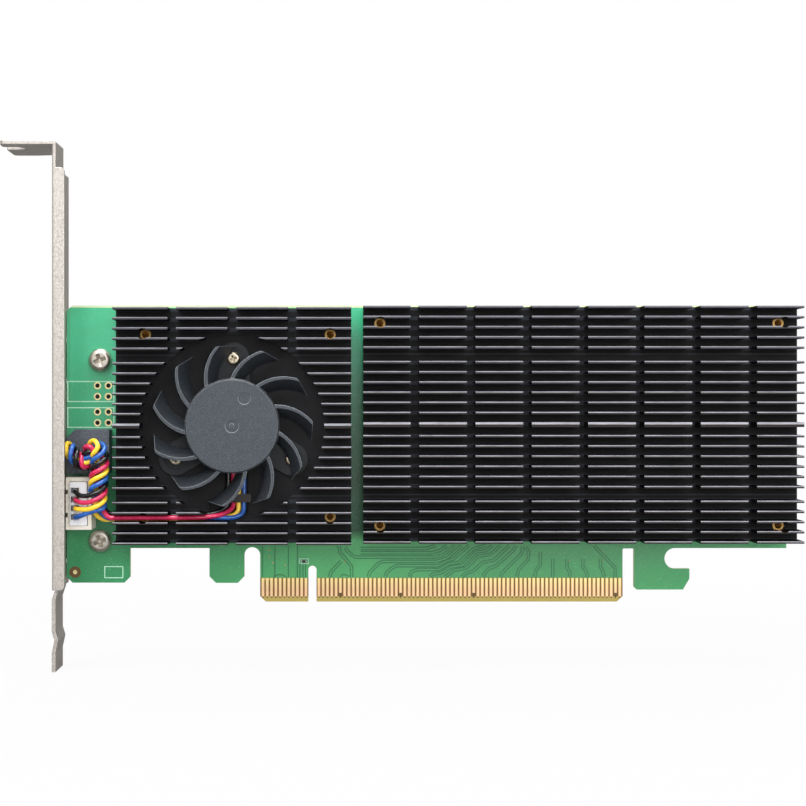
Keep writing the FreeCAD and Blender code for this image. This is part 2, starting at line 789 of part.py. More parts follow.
def pan_screw(radius, length, head_radius, head_height):
    """A pan-head screw along z: its head stands on z = 0 and its shank goes down."""
    flat = head_radius * 0.62
    crown = [Part.LineSegment(Vector(0, 0, head_height), Vector(flat, 0, head_height)),
             Part.Arc(Vector(flat, 0, head_height), Vector(head_radius * 0.89, 0, head_height * 0.78),
                      Vector(head_radius, 0, head_height * 0.3))]
    edges = [piece.toShape() for piece in crown]
    below = [(head_radius, head_height * 0.3), (head_radius, 0), (radius, 0), (radius, -length + 0.4),
             (radius - 0.4, -length), (0, -length), (0, head_height)]
    corners = [Vector(x, 0, z) for x, z in below]
    edges += [Part.makeLine(start, end) for start, end in zip(corners, corners[1:])]
    screw = Part.Face(Part.Wire(edges)).revolve(Vector(0, 0, 0), Vector(0, 0, 1), 360)
    recess = cross_recess(head_radius * 0.56, head_height * 0.62)
    recess.rotate(Vector(0, 0, 0), Vector(0, 0, 1), RECESS_TURN)
    recess.translate(Vector(0, 0, head_height))
    return screw.cut(recess)


def copies(shape, places, height=0.0, turned=False):
    """Copies of a shape at board places; turned ones point away from the component side."""
    made = []
    for x, y in places:
        copy = shape.copy()
        if turned:
            copy.rotate(Vector(0, 0, 0), Vector(1, 0, 0), 180)
        copy.translate(Vector(x, y, height))
        made.append(copy)
    return Part.makeCompound(made)


def make_bracket_screws():
    screw = pan_screw(size.bracket_screw_radius, size.bracket_screw_length,
                      size.bracket_screw_head_radius, size.bracket_screw_head_height)
    shape_part("bracket_screws", copies(screw, bracket_screw_places()))


# ---------------------------------------------------------------- heatsinks and their posts
def comb_outline():
    """The heatsink's section: base and fins, as (rise, height) from its middle."""
    s = size
    root = s.heatsink_lift + s.heatsink_base
    tip = root + s.fin_height
    offsets = fin_offsets()
    fins = [(-offset, s.fin_thickness) for offset in reversed(offsets)]
    fins += [(0, s.centre_fin_thickness)] + [(offset, s.fin_thickness) for offset in offsets]
    corners = [(half_span(), s.heatsink_lift), (-half_span(), s.heatsink_lift)]
    for index, (middle, thickness) in enumerate(fins):
        low, high = middle - thickness / 2, middle + thickness / 2
        if index > 0:
            corners.append((low, root))
        corners += [(low, tip), (high, tip)]
        if index < len(fins) - 1:
            corners.append((high, root))
    return corners


def finned_body(label, x, rise, length, cut_pitch, cut_count, origin, posts):
    """An extruded comb along x with cross cuts, and bores for its brass posts.

    The origin is the place that the expressions x and rise give.
    """
    body = new_body(label, x, rise)
    section = new_sketch(body, label + "_section", "YZ_Plane")
    for piece in rounded([(-height, across) for across, height in comb_outline()]):
        section.addGeometry(piece, False)
    pad(body, section, length, Midplane=True)

    cuts = new_sketch(body, label + "_cuts", height="heatsink_lift + heatsink_base")
    for number in range(cut_count):
        middle = (number - (cut_count - 1) / 2) * getattr(size, cut_pitch)
        for piece in rounded([(middle - size.fin_cut_width / 2, -half_span() - 1),
                              (middle + size.fin_cut_width / 2, -half_span() - 1),
                              (middle + size.fin_cut_width / 2, half_span() + 1),
                              (middle - size.fin_cut_width / 2, half_span() + 1)]):
            cuts.addGeometry(piece, False)
    pocket(body, cuts, "fin_height + 1", Reversed=True)

    bores = new_sketch(body, label + "_bores", height="heatsink_lift")
    for place in posts:
        middle = Vector(*place, 0) - Vector(*origin, 0)
        bores.addGeometry(Part.Circle(middle, Vector(0, 0, 1), size.post_spigot_radius), False)
    body.Tip = pocket(body, bores, "heatsink_base + fin_height + 1", Reversed=True)
    return body


def make_switch_heatsink():
    origin = (size.fan_x, size.fan_mid)
    body = finned_body("switch_heatsink", "fan_x", "fan_mid", "switch_heatsink_length",
                       "switch_fin_cut_pitch", SWITCH_FIN_CUTS, origin, switch_post_places())
    well = new_sketch(body, "fan_well", height="well_floor")
    sheet_circle(well, "well_radius")
    pocket(body, well, "heatsink_lift + heatsink_base + fin_height + 1 - well_floor", Reversed=True)

    slot = new_sketch(body, "cable_slot", height="cable_slot_floor")
    sheet_rectangle(slot, "cable_slot_shift - cable_slot_width / 2", "cable_slot_shift + cable_slot_width / 2",
                    "-cable_slot_end", "-fan_pan_radius + wire_exit_inset")
    pocket(body, slot, "well_floor - cable_slot_floor + 0.5", Reversed=True)
    turn = new_sketch(body, "cable_turn", height="cable_slot_floor")
    sheet_rectangle(turn, "-cable_turn_reach", "0", "-cable_slot_end", "-cable_turn_top")
    pocket(body, turn, "well_floor - cable_slot_floor + 0.5", Reversed=True)

    seat = "well_floor + fan_base_thickness - fan_screw_recess_depth"
    screws = new_sketch(body, "fan_screw_bores", height=seat + " - fan_screw_length - fan_screw_bore_gap")
    for angle in FAN_ARM_ANGLES:
        x, y = around(size.fan_screw_circle, angle)
        screws.addGeometry(Part.Circle(Vector(x, y, 0), Vector(0, 0, 1), size.fan_screw_radius), False)
    body.Tip = pocket(body, screws, "2", Reversed=True)


def make_drive_heatsink():
    origin = (drive_middle(), size.drive_heatsink_mid)
    finned_body("drive_heatsink", DRIVE_MIDDLE, "drive_heatsink_mid", "drive_heatsink_length",
                "drive_fin_cut_pitch", DRIVE_FIN_CUTS, origin, drive_post_places())


def make_heatsink_posts():
    """Brass posts between board and base; each one's spigot fills its bore in the base."""
    s = size
    top = s.heatsink_lift + s.heatsink_base + s.post_spigot_rise
    profile = [(s.post_screw_radius, 0), (s.post_radius, 0), (s.post_radius, s.heatsink_lift),
               (s.post_spigot_radius, s.heatsink_lift), (s.post_spigot_radius, top),
               (s.post_recess_radius, top), (0, top - s.post_recess_depth), (0, s.heatsink_lift),
               (s.post_screw_radius, s.post_thread_depth)]
    corners = [Vector(x, 0, z) for x, z in profile]
    post = Part.Face(Part.makePolygon(corners + corners[:1])).revolve(Vector(0, 0, 0), Vector(0, 0, 1), 360)
    shape_part("switch_heatsink_posts", copies(post, switch_post_places()))
    shape_part("drive_heatsink_posts", copies(post, drive_post_places()))
    screw = pan_screw(s.post_screw_radius, s.post_screw_length,
                      s.post_screw_head_radius, s.post_screw_head_height)
    shape_part("heatsink_screws", copies(screw, switch_post_places() + drive_post_places(),
                                         -s.board_thickness, turned=True))


def make_thermal_pads():
    s = size
    half = s.chip_pad_width / 2
    pad_box = block(s.fan_x - half, s.fan_x + half, s.fan_mid - half, s.fan_mid + half,
                    s.chip_height, s.heatsink_lift)
    shape_part("switch_thermal_pad", pad_box)
    middle = drive_middle()
    pads = [block(middle - s.drive_pad_length / 2, middle + s.drive_pad_length / 2,
                  rise - s.drive_pad_width / 2, rise + s.drive_pad_width / 2,
                  s.heatsink_lift - s.drive_pad_thickness, s.heatsink_lift) for rise in bay_rises()]
    shape_part("drive_thermal_pads", Part.makeCompound(pads))


# ---------------------------------------------------------------- parts on the board
def make_switch_chip():
    """A ball-grid package: square substrate with a metal lid."""
    body = new_body("switch_chip", "fan_x", "fan_mid")
    substrate = new_sketch(body, "chip_substrate_outline")
    sheet_rectangle(substrate, "-chip_width / 2", "chip_width / 2", "-chip_width / 2", "chip_width / 2")
    pad(body, substrate, "chip_substrate")
    lid = new_sketch(body, "chip_lid_outline", height="chip_substrate")
    sheet_rectangle(lid, "-chip_lid_width / 2", "chip_lid_width / 2",
                    "-chip_lid_width / 2", "chip_lid_width / 2")
    body.Tip = pad(body, lid, "chip_height - chip_substrate")


def make_supply_parts():
    """Inductors, regulators and capacitors of the board's own supply, beside the switch chip."""
    s = size
    rise = s.fan_mid + s.supply_row_rise
    inductors, regulators, capacitors = [], [], []
    for number in range(3):
        x = s.fan_x + (number - 1) * s.inductor_pitch
        half, corner = s.inductor_width / 2, s.inductor_corner
        inductors.append(prism([(x - half, rise - half, corner), (x + half, rise - half, corner),
                                (x + half, rise + half, corner), (x - half, rise + half, corner)],
                               0, s.inductor_height))
    for number in range(2):
        x = s.fan_x + (number - 0.5) * s.regulator_pitch
        half = s.regulator_width / 2
        low = s.fan_mid - s.supply_row_rise
        regulators.append(block(x - half, x + half, low - half, low + half, 0, s.regulator_height))
    shifts = [0] + [side * (s.capacitor_group + step * s.capacitor_pitch)
                    for side in (-1, 1) for step in (-0.5, 0.5)]
    for shift in shifts:
        x = s.fan_x + shift
        low = s.fan_mid - s.supply_row_rise - s.capacitor_length / 2
        capacitors.append(block(x - s.capacitor_width / 2, x + s.capacitor_width / 2,
                                low, low + s.capacitor_length, 0, s.capacitor_height))
    shape_part("power_inductors", Part.makeCompound(inductors))
    shape_part("regulator_chips", Part.makeCompound(regulators))
    shape_part("power_capacitors", Part.makeCompound(capacitors))


def make_alarm_buzzer():
    body = new_body("alarm_buzzer", "buzzer_left", "buzzer_bottom")
    outline = new_sketch(body, "buzzer_outline")
    width, length, cut = size.buzzer_width, size.buzzer_length, size.buzzer_chamfer
    corner = size.buzzer_corner
    for piece in rounded([(0, 0, corner), (width, 0, corner), (width, length, corner),
                          (cut, length), (0, length - cut)]):
        outline.addGeometry(piece, False)
    body.Tip = pad(body, outline, "buzzer_height")


def make_drive_bays():
    """Two sockets, with a standoff and its screw at the far end of each drive."""
    s = size
    for label, sign in (("m2_socket_upper", "+"), ("m2_socket_lower", "-")):
        body = new_body(label, DRIVE_MIDDLE + " - drive_heatsink_length / 2 + socket_inset",
                        f"drive_heatsink_mid {sign} (socket_width + socket_gap) / 2")
        section = new_sketch(body, label + "_outline")
        sheet_rectangle(section, "0", "socket_depth", "-socket_width / 2", "socket_width / 2")
        pad(body, section, "socket_height")
        mouth = new_sketch(body, label + "_mouth", height="socket_mouth_bottom")
        sheet_rectangle(mouth, "socket_depth - socket_mouth_depth", "socket_depth + 1",
                        "-socket_width / 2 + socket_end_wall", "socket_width / 2 - socket_end_wall")
        body.Tip = pocket(body, mouth, "socket_mouth", Reversed=True)
    places = [(standoff_x(), rise) for rise in bay_rises()]
    standoff = Part.makeCylinder(s.standoff_radius, s.standoff_height)
    standoff = standoff.cut(Part.makeCylinder(s.drive_screw_radius, s.standoff_height))
    shape_part("m2_standoffs", copies(standoff, places))
    screw = pan_screw(s.drive_screw_radius, s.drive_screw_length,
                      s.drive_screw_head_radius, s.drive_screw_head_height)
    shape_part("m2_screws", copies(screw, places, s.standoff_height))


# ---------------------------------------------------------------- fan
def around(radius, degrees):
    """A point on a circle about the origin."""
    return radius * math.cos(math.radians(degrees)), radius * math.sin(math.radians(degrees))


def make_fan_base():
    """A dished disc with three screw arms and the tube that holds the bearing."""
    s = size
    body = new_body("fan_base", "fan_x", "fan_mid")
    disc = new_sketch(body, "base_disc", height="well_floor")
    sheet_circle(disc, "fan_disc_radius")
    pad(body, disc, "fan_base_thickness")

    arm = new_sketch(body, "base_arm", height="well_floor")
    inward = s.fan_disc_radius - 3
    reach = s.fan_screw_circle + s.fan_arm_radius
    for piece in rounded([(s.fan_arm_radius, inward), (s.fan_arm_radius, reach, s.fan_arm_radius * 0.999),
                          (-s.fan_arm_radius, reach, s.fan_arm_radius * 0.999), (-s.fan_arm_radius, inward)]):
        arm.addGeometry(piece, False)
    polar(body, [pad(body, arm, "fan_base_thickness")], "Y_Axis", len(FAN_ARM_ANGLES))

    pan = new_sketch(body, "base_pan", height="well_floor + fan_base_thickness - fan_pan_depth")
    sheet_circle(pan, "fan_pan_radius")
    pocket(body, pan, "fan_pan_depth + 1", Reversed=True)

    tube = new_sketch(body, "bearing_tube", height="well_floor")
    sheet_circle(tube, "bearing_tube_radius")
    pad(body, tube, "bearing_tube_top - well_floor")
    bore = new_sketch(body, "bearing_bore", height="bearing_bore_bottom")
    sheet_circle(bore, "bearing_radius")
    pocket(body, bore, "bearing_tube_top - bearing_bore_bottom + 1", Reversed=True)

    recess = new_sketch(body, "screw_recess", height="well_floor + fan_base_thickness - fan_screw_recess_depth")
    sheet_circle(recess, "fan_screw_recess_radius", "0", "fan_screw_circle")
    recess_cut = pocket(body, recess, "fan_screw_recess_depth + 1", Reversed=True)
    hole = new_sketch(body, "screw_hole", height="well_floor")
    sheet_circle(hole, "fan_screw_radius + screw_clearance", "0", "fan_screw_circle")
    hole_cut = pocket(body, hole, "fan_base_thickness", Reversed=True)
    polar(body, [recess_cut, hole_cut], "Y_Axis", len(FAN_ARM_ANGLES))

    exit_notch = new_sketch(body, "wire_exit", height="well_floor")
    sheet_rectangle(exit_notch, "cable_slot_shift - cable_slot_width / 2",
                    "cable_slot_shift + cable_slot_width / 2",
                    "-fan_disc_radius - 1", "-fan_pan_radius + wire_exit_inset")
    body.Tip = pocket(body, exit_notch, "fan_base_thickness", Reversed=True)


def make_fan_screws():
    screw = pan_screw(size.fan_screw_radius, size.fan_screw_length,
                      size.fan_screw_head_radius, size.fan_screw_head_height)
    places = [around(size.fan_screw_circle, angle) for angle in FAN_ARM_ANGLES]
    places = [(size.fan_x + x, size.fan_mid + y) for x, y in places]
    seat = size.well_floor + size.fan_base_thickness - size.fan_screw_recess_depth
    shape_part("fan_screws", copies(screw, places, seat))


def make_bearing_and_shaft():
    s = size
    bore = s.shaft_radius + s.shaft_clearance
    turned_body("fan_bearing", [(bore, s.bearing_bottom), (s.bearing_radius, s.bearing_bottom),
                                (s.bearing_radius, s.bearing_top), (bore, s.bearing_top)])
    ring_top = s.retaining_ring_bottom + s.retaining_ring_thickness
    groove = s.shaft_radius - s.retaining_groove_depth
    seat = s.hub_top - s.hub_roof + s.shaft_seat_depth
    turned_body("fan_shaft", [
        (0, s.shaft_bottom), (groove, s.shaft_bottom), (groove, ring_top),
        (s.shaft_radius, ring_top), (s.shaft_radius, seat), (0, seat)])
    turned_body("shaft_retaining_ring", [
        (groove, s.retaining_ring_bottom), (s.retaining_ring_radius, s.retaining_ring_bottom),
        (s.retaining_ring_radius, ring_top), (groove, ring_top)])


def make_rotor_shells():
    """The steel cup inside the hub and the ring magnet inside the cup."""
    s = size
    outer = s.hub_radius - s.hub_wall
    inner = outer - s.yoke_wall
    top = s.hub_top - s.hub_roof
    turned_body("rotor_yoke", [
        (s.hub_boss_radius, top), (s.hub_boss_radius, top - s.yoke_roof), (inner, top - s.yoke_roof),
        (inner, s.yoke_bottom), (outer, s.yoke_bottom), (outer, top, 0.4)])
    turned_body("rotor_magnet", [
        (inner - s.magnet_wall, s.magnet_bottom), (inner, s.magnet_bottom),
        (inner, s.magnet_bottom + s.magnet_height), (inner - s.magnet_wall, s.magnet_bottom + s.magnet_height)])


def blade_angle(radius):
    """The blade's angle at a radius: a quadratic through its root, middle and tip."""
    s = size
    middle = (s.hub_radius + s.blade_tip_radius) / 2 + s.blade_middle_shift
    stations = ((s.hub_radius, s.blade_root_angle), (middle, s.blade_middle_angle),
                (s.blade_tip_radius, s.blade_tip_angle))
    angle = 0
    for r0, value in stations:
        share = value
        for r1, _ in stations:
            if r1 != r0:
                share *= (radius - r1) / (r0 - r1)
        angle += share
    return angle


def blade_strip(sketch, turn):
    """The blade's section at one height: a curved strip from inside the hub wall to the tip circle."""
    s = size
    root = s.hub_radius - s.hub_wall / 2
    stations = [root, (root + s.blade_tip_radius) / 2, s.blade_tip_radius]
    sides = []
    for side in (0.5, -0.5):
        points = []
        for radius in stations:
            lean = math.degrees(side * s.blade_thickness * BLADE_SLANT / radius)
            points.append(Vector(*around(radius, blade_angle(radius) + turn + lean), 0))
        sides.append(points)
    left, right = sides
    for piece in (Part.Arc(*left), Part.LineSegment(left[2], right[2]),
                  Part.Arc(*reversed(right)), Part.LineSegment(right[0], left[0])):
        sketch.addGeometry(piece, False)


def make_impeller():
    """The moulded hub cup with its ring of pitched, swept blades."""
    s = size
    inner = s.hub_radius - s.hub_wall
    roof = s.hub_top - s.hub_roof
    body = turned_body("impeller", [
        (s.shaft_radius, roof - s.hub_boss_depth), (s.hub_boss_radius, roof - s.hub_boss_depth),
        (s.hub_boss_radius, roof), (inner, roof, 0.4), (inner, s.hub_bottom), (s.hub_radius, s.hub_bottom),
        (s.hub_radius, s.hub_top - s.hub_bevel), (s.hub_radius - s.hub_bevel, s.hub_top), (0, s.hub_top),
        (0, roof + s.shaft_seat_depth), (s.shaft_radius, roof + s.shaft_seat_depth)])

    low = new_sketch(body, "blade_low", height="blade_bottom")
    blade_strip(low, -s.blade_pitch_turn)
    high = new_sketch(body, "blade_high", height="blade_top")
    blade_strip(high, 0)
    blade = body.newObject("PartDesign::AdditiveLoft", "blade")
    blade.Profile = low
    blade.Sections = [high]
    blade.Ruled = True
    polar(body, [blade], "Y_Axis", s.blade_count)

    ring = new_sketch(body, "hub_ring_mark", height="hub_top - hub_mark_depth")
    sheet_circle(ring, "hub_mark_radius")
    sheet_circle(ring, "hub_mark_inner_radius")
    pocket(body, ring, "hub_mark_depth + 0.1", Reversed=True)
    gate = new_sketch(body, "hub_gate_mark", height="hub_top - hub_mark_depth")
    sheet_circle(gate, "gate_mark_radius", "gate_mark_x", "gate_mark_rise")
    body.Tip = pocket(body, gate, "hub_mark_depth + 0.1", Reversed=True)


def make_stator():
    """Laminated core with its teeth, the windings on them, and the motor board below."""
    s = size
    magnet_inner = s.hub_radius - s.hub_wall - s.yoke_wall - s.magnet_wall
    radius = magnet_inner - s.air_gap
    shoe = radius - s.stator_shoe
    low, high = s.stator_bottom, s.stator_bottom + s.stator_height
    core = Part.makeCylinder(radius, s.stator_height, Vector(0, 0, low))
    window = Part.makeCylinder(shoe, s.stator_height, Vector(0, 0, low))
    window = window.cut(Part.makeCylinder(s.stator_ring_radius, s.stator_height, Vector(0, 0, low)))
    half = s.tooth_width / 2
    coils = []
    for number in range(STATOR_TEETH):
        turn = 45 + number * 360 / STATOR_TEETH
        neck = block(0, radius, -half, half, low, high)
        gap = block(shoe - 1, radius + 1, -s.tooth_gap / 2, s.tooth_gap / 2, low, high)
        start = s.stator_ring_radius + s.coil_ring_gap
        end = shoe - s.coil_shoe_gap
        wide = half + s.coil_build
        coil = block(start, end, -wide, wide, low - s.coil_build, high + s.coil_build)
        coil = coil.cut(block(start - 1, end + 1, -half, half, low, high))
        for shape, degrees in ((neck, turn), (coil, turn), (gap, turn + 180 / STATOR_TEETH)):
            shape.rotate(Vector(0, 0, 0), Vector(0, 0, 1), degrees)
        window = window.cut(neck)
        core = core.cut(gap)
        coils.append(coil)
    core = core.cut(window).cut(Part.makeCylinder(s.bearing_tube_radius, s.stator_height, Vector(0, 0, low)))
    centre = Vector(s.fan_x, s.fan_mid, 0)
    core.translate(centre)
    shape_part("fan_stator", core)
    winding = Part.makeCompound(coils)
    winding.translate(centre)
    shape_part("fan_coils", winding)

    bottom = s.well_floor + s.fan_base_thickness - s.fan_pan_depth
    board = Part.makeCylinder(s.motor_board_radius, s.motor_board_thickness, Vector(0, 0, bottom))
    board = board.cut(Part.makeCylinder(s.bearing_tube_radius, s.motor_board_thickness, Vector(0, 0, bottom)))
    board.translate(centre)
    shape_part("fan_motor_board", board)


# ---------------------------------------------------------------- header, plug and wires
def make_fan_header():
    """Ivory shroud with a floor, open at the top, and its four square pins."""
    s = size
    body = new_body("fan_header", "header_left", "header_bottom")
    outline = new_sketch(body, "header_outline")
    sheet_rectangle(outline, "0", "header_width", "0", "header_length")
    pad(body, outline, "header_height")
    well = new_sketch(body, "header_well", height="header_floor")
    sheet_rectangle(well, "header_wall_left", "header_wall_left + plug_width + 2 * plug_clearance",
                    "header_wall_side", "header_length - header_wall_side")
    pocket(body, well, "header_height", Reversed=True)
    slits = new_sketch(body, "header_slits", height="header_height - header_slit_depth")
    half = s.header_slit_width / 2
    for side in (-1, 1):
        middle = s.header_length / 2 + side * s.header_slit_spread / 2
        for piece in rounded([(-half, middle - half), (half, middle - half),
                              (half, middle + half), (-half, middle + half)]):
            slits.addGeometry(piece, False)
    pocket(body, slits, "header_slit_depth + 1", Reversed=True)
    pin_holes = new_sketch(body, "header_pin_holes")
    half = s.header_pin_width / 2
    origin = Vector(s.header_left, s.header_bottom, 0)
    for x, y in header_pin_places():
        x, y = x - origin.x, y - origin.y
        for piece in rounded([(x - half, y - half), (x + half, y - half),
                              (x + half, y + half), (x - half, y + half)]):
            pin_holes.addGeometry(piece, False)
    body.Tip = pocket(body, pin_holes, "header_floor", Reversed=True)

    pins = []
    for x, y in header_pin_places():
        pins.append(block(x - half, x + half, y - half, y + half,
                          -s.board_thickness - s.header_pin_tail, s.header_pin_top))
    shape_part("fan_header_pins", Part.makeCompound(pins))


def make_fan_plug():
    """White four-way plug: each way has a square socket below and a window above for its wire."""
    s = size
    x = header_middle()
    rise = s.header_bottom + s.header_length / 2
    bottom = s.header_floor
    width, length = s.plug_width / 2, s.plug_length / 2
    corner = s.plug_corner
    plug = prism([(x - width, rise - length, corner), (x + width, rise - length, corner),
                  (x + width, rise + length, corner), (x - width, rise + length, corner)], bottom, s.plug_top)
    terminals = []
    half = s.header_pin_width / 2
    for pin_x, y in header_pin_places():
        sleeve = half + s.terminal_wall
        edge = pin_x + s.plug_cavity_shift
        window = block(edge - s.plug_cavity_length, edge, y - s.plug_cavity_width / 2,
                       y + s.plug_cavity_width / 2, s.plug_top - s.plug_cavity_depth, s.plug_top)
        channel = block(pin_x - sleeve, pin_x + sleeve, y - sleeve, y + sleeve,
                        bottom, s.plug_top - s.plug_cavity_depth + 0.01)
        plug = plug.cut(window.fuse(channel))
        tube = block(pin_x - sleeve, pin_x + sleeve, y - sleeve, y + sleeve,
                     bottom + s.terminal_wall, s.plug_top - s.plug_cavity_depth - s.plug_clearance)
        terminals.append(tube.cut(block(pin_x - half, pin_x + half, y - half, y + half,
                                        bottom, s.header_pin_top + 1)))
    shape_part("fan_plug", plug)
    shape_part("plug_terminals", Part.makeCompound(terminals))


def tube_along(points, diameter, label):
    """A round tube of straight runs joined by tangent arcs, each as large as its two runs allow."""
    corners = [Vector(*point) for point in points]
    edges, radii = [], []
    start = corners[0]
    for before, here, after in zip(corners, corners[1:], corners[2:]):
        back, ahead = before - here, after - here
        reach = 0.45 * min(back.Length, ahead.Length)
        back.normalize()
        ahead.normalize()
        half_turn = (math.pi - back.getAngle(ahead)) / 2
        radius = reach / math.tan(half_turn)
        middle = back + ahead
        middle.normalize()
        arc_start, arc_end = here + back * reach, here + ahead * reach
        crown = here + middle * (radius / math.cos(half_turn) - radius)
        edges.append(Part.LineSegment(start, arc_start).toShape())
        edges.append(Part.Arc(arc_start, crown, arc_end).toShape())
        radii.append(radius)
        start = arc_end
    edges.append(Part.LineSegment(start, corners[-1]).toShape())
    path = Part.Wire(edges)
    ring = Part.Wire(Part.makeCircle(diameter / 2, corners[0], corners[1] - corners[0]))
    tube = path.makePipeShell([ring], True, False)
    ideal = math.pi * diameter ** 2 / 4 * path.Length
    print(f"{label}: length {path.Length:.2f}, radii {[round(radius, 2) for radius in radii]}, "
          f"volume ratio {tube.Volume / ideal:.4f}")
    return tube


# Routes as (x, rise, height).  The service loop runs out of the fins, up beside the header, over the
# buzzer, round in a tight fold below the bracket's lip, and back down towards the plug.
LEAD_ROUTE = [
    (-46.0, 20.3, 9.3), (-48.2, 21.1, 7.7), (-48.3, 25.2, 6.4), (-47.9, 29.6, 7.0), (-50.4, 32.1, 7.3),
    (-53.5, 32.3, 7.2), (-55.4, 33.6, 9.5), (-53.8, 34.8, 11.8), (-50.7, 35.6, 12.1),
    (-48.6, 34.3, 12.2), (-47.9, 31.4, 12.2), (-47.2, 28.4, 12.0)]

# From the motor, flat under the clip, then round the fan and stacked between two fins.
WIRE_ROUTES = {
    "black": [(-19.15, 33.7, 6.35), (-19.15, 24.1, 6.45), (-19.15, 22.6, 7.3), (-22.5, 20.6, 7.58),
              (-34.9, 20.6, 7.64), (-45.4, 20.6, 7.58)],
    "red": [(-17.95, 33.7, 6.35), (-17.95, 24.1, 6.45), (-17.95, 22.0, 7.3), (-21.7, 20.6, 10.89),
            (-34.9, 20.6, 10.95), (-45.4, 20.6, 10.89)],
    "yellow": [(-16.75, 33.7, 6.35), (-16.75, 24.1, 6.45), (-16.75, 20.2, 7.45), (-25.9, 20.0, 8.89),
               (-34.9, 20.0, 8.95), (-45.4, 20.0, 8.89)],
    "blue": [(-15.55, 33.7, 6.35), (-15.55, 24.1, 6.45), (-15.55, 20.0, 8.2), (-23.6, 20.0, 9.96),
             (-34.9, 20.0, 10.02), (-45.4, 20.0, 9.96)]}

# From the loop's end over to the plug, where each wire turns down into its cavity.
TAIL_ROUTES = {
    "black": [(-47.8, 28.4, 12.6), (-48.5, 26.3, 12.2), (-50.6, 25.7, 11.0)],
    "red": [(-47.8, 28.4, 11.4), (-48.0, 24.8, 11.2), (-50.4, 23.8, 10.6)],
    "yellow": [(-46.6, 28.4, 12.6), (-46.9, 23.9, 12.1), (-50.0, 22.2, 10.7)],
    "blue": [(-46.6, 28.4, 11.4), (-46.6, 22.6, 10.9), (-49.6, 20.6, 10.3)]}


def make_wires():
    s = size
    shape_part("fan_lead", tube_along(LEAD_ROUTE, s.lead_diameter, "fan_lead"))
    for colour, (pin_x, rise) in zip(LEAD_COLOURS, header_pin_places()):
        shape_part(f"fan_wire_{colour}", tube_along(WIRE_ROUTES[colour], s.wire_diameter, f"fan_wire_{colour}"))
        entry = [(pin_x - 0.55, rise, s.plug_top + s.wire_diameter),
                 (pin_x - 0.7, rise, s.plug_top - s.plug_cavity_depth / 2)]
        shape_part(f"plug_tail_{colour}",
                   tube_along(TAIL_ROUTES[colour] + entry, s.wire_diameter, f"plug_tail_{colour}"))


def make_cable_clip():
    """A strap over the wires, standing on a leg each side of the slot."""
    s = size
    low, high = s.fan_mid - s.clip_drop - s.clip_height, s.fan_mid - s.clip_drop
    left = s.fan_x + s.cable_slot_shift - s.cable_slot_width / 2
    right = left + s.cable_slot_width
    strap = block(left - s.clip_leg, right + s.clip_leg, low, high,
                  s.clip_underside, s.clip_underside + s.clip_thickness)
    legs = [block(x, x + s.clip_leg, low, high, s.well_floor, s.clip_underside)
            for x in (left - s.clip_leg, right)]
    shape_part("fan_cable_clip", strap.fuse(legs).removeSplitter())


# ---------------------------------------------------------------- build, check and write
def build_all():
    make_circuit_board()
    make_edge_contacts()
    make_io_bracket()
    make_bracket_screws()
    make_switch_heatsink()
    make_drive_heatsink()
    make_heatsink_posts()
    make_thermal_pads()
    make_switch_chip()
    make_supply_parts()
    make_alarm_buzzer()
    make_drive_bays()
    make_fan_base()
    make_fan_screws()
    make_bearing_and_shaft()
    make_rotor_shells()
    make_impeller()
    make_stator()
    make_fan_header()
    make_fan_plug()
    make_wires()
    make_cable_clip()
    doc.recompute()


def check_all():
    """Stops on any failed feature or any sub-part that isn't a valid closed solid."""
    for feature in doc.Objects:
        faults = [state for state in feature.State if state in ("Invalid", "Error")]
        if faults:
            raise RuntimeError(f"{feature.Name} is {faults}")
    for subpart in SUBPARTS:
        shape = subpart.Shape
        if shape.isNull() or not shape.isValid() or shape.Volume <= 0:
            raise RuntimeError(f"{subpart.Label} has no valid shape")


def write_all():
    os.makedirs("parts", exist_ok=True)
    for subpart in SUBPARTS:
        subpart.Shape.exportStep(f"parts/{subpart.Label}.step")
        print(subpart.Label, len(subpart.Shape.Solids), round(subpart.Shape.Volume, 2))


build_all()
check_all()
write_all()
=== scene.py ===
"""Dresses the expansion card: finishes for every piece, the twisted fan lead, printed and plated
details of the board, and a plain studio.  Metres, in the frame of the CAD model: +X runs along the
board, -Y is the component side and +Z points away from the slot.
"""
import math

import bmesh
import bpy
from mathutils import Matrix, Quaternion, Vector


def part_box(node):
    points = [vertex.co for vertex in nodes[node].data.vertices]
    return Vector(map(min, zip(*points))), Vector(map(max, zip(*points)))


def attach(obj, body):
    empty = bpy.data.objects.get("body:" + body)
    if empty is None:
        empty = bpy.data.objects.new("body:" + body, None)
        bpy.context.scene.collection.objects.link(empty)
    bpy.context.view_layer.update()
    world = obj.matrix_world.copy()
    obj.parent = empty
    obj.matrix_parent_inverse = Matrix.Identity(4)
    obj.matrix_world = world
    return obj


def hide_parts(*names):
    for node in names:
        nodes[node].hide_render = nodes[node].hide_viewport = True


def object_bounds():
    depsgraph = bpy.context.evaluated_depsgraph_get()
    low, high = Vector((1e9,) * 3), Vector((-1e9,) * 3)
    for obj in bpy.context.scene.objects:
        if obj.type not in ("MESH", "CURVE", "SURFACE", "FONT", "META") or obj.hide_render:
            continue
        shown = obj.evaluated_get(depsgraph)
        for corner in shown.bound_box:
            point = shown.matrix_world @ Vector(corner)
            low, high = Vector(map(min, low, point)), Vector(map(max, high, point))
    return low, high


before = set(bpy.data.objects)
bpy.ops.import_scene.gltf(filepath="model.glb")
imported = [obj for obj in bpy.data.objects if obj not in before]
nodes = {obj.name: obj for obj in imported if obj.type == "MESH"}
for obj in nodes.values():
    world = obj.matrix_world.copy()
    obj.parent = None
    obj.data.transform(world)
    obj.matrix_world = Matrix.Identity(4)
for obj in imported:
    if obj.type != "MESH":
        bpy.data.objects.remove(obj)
cad_low, cad_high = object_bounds()
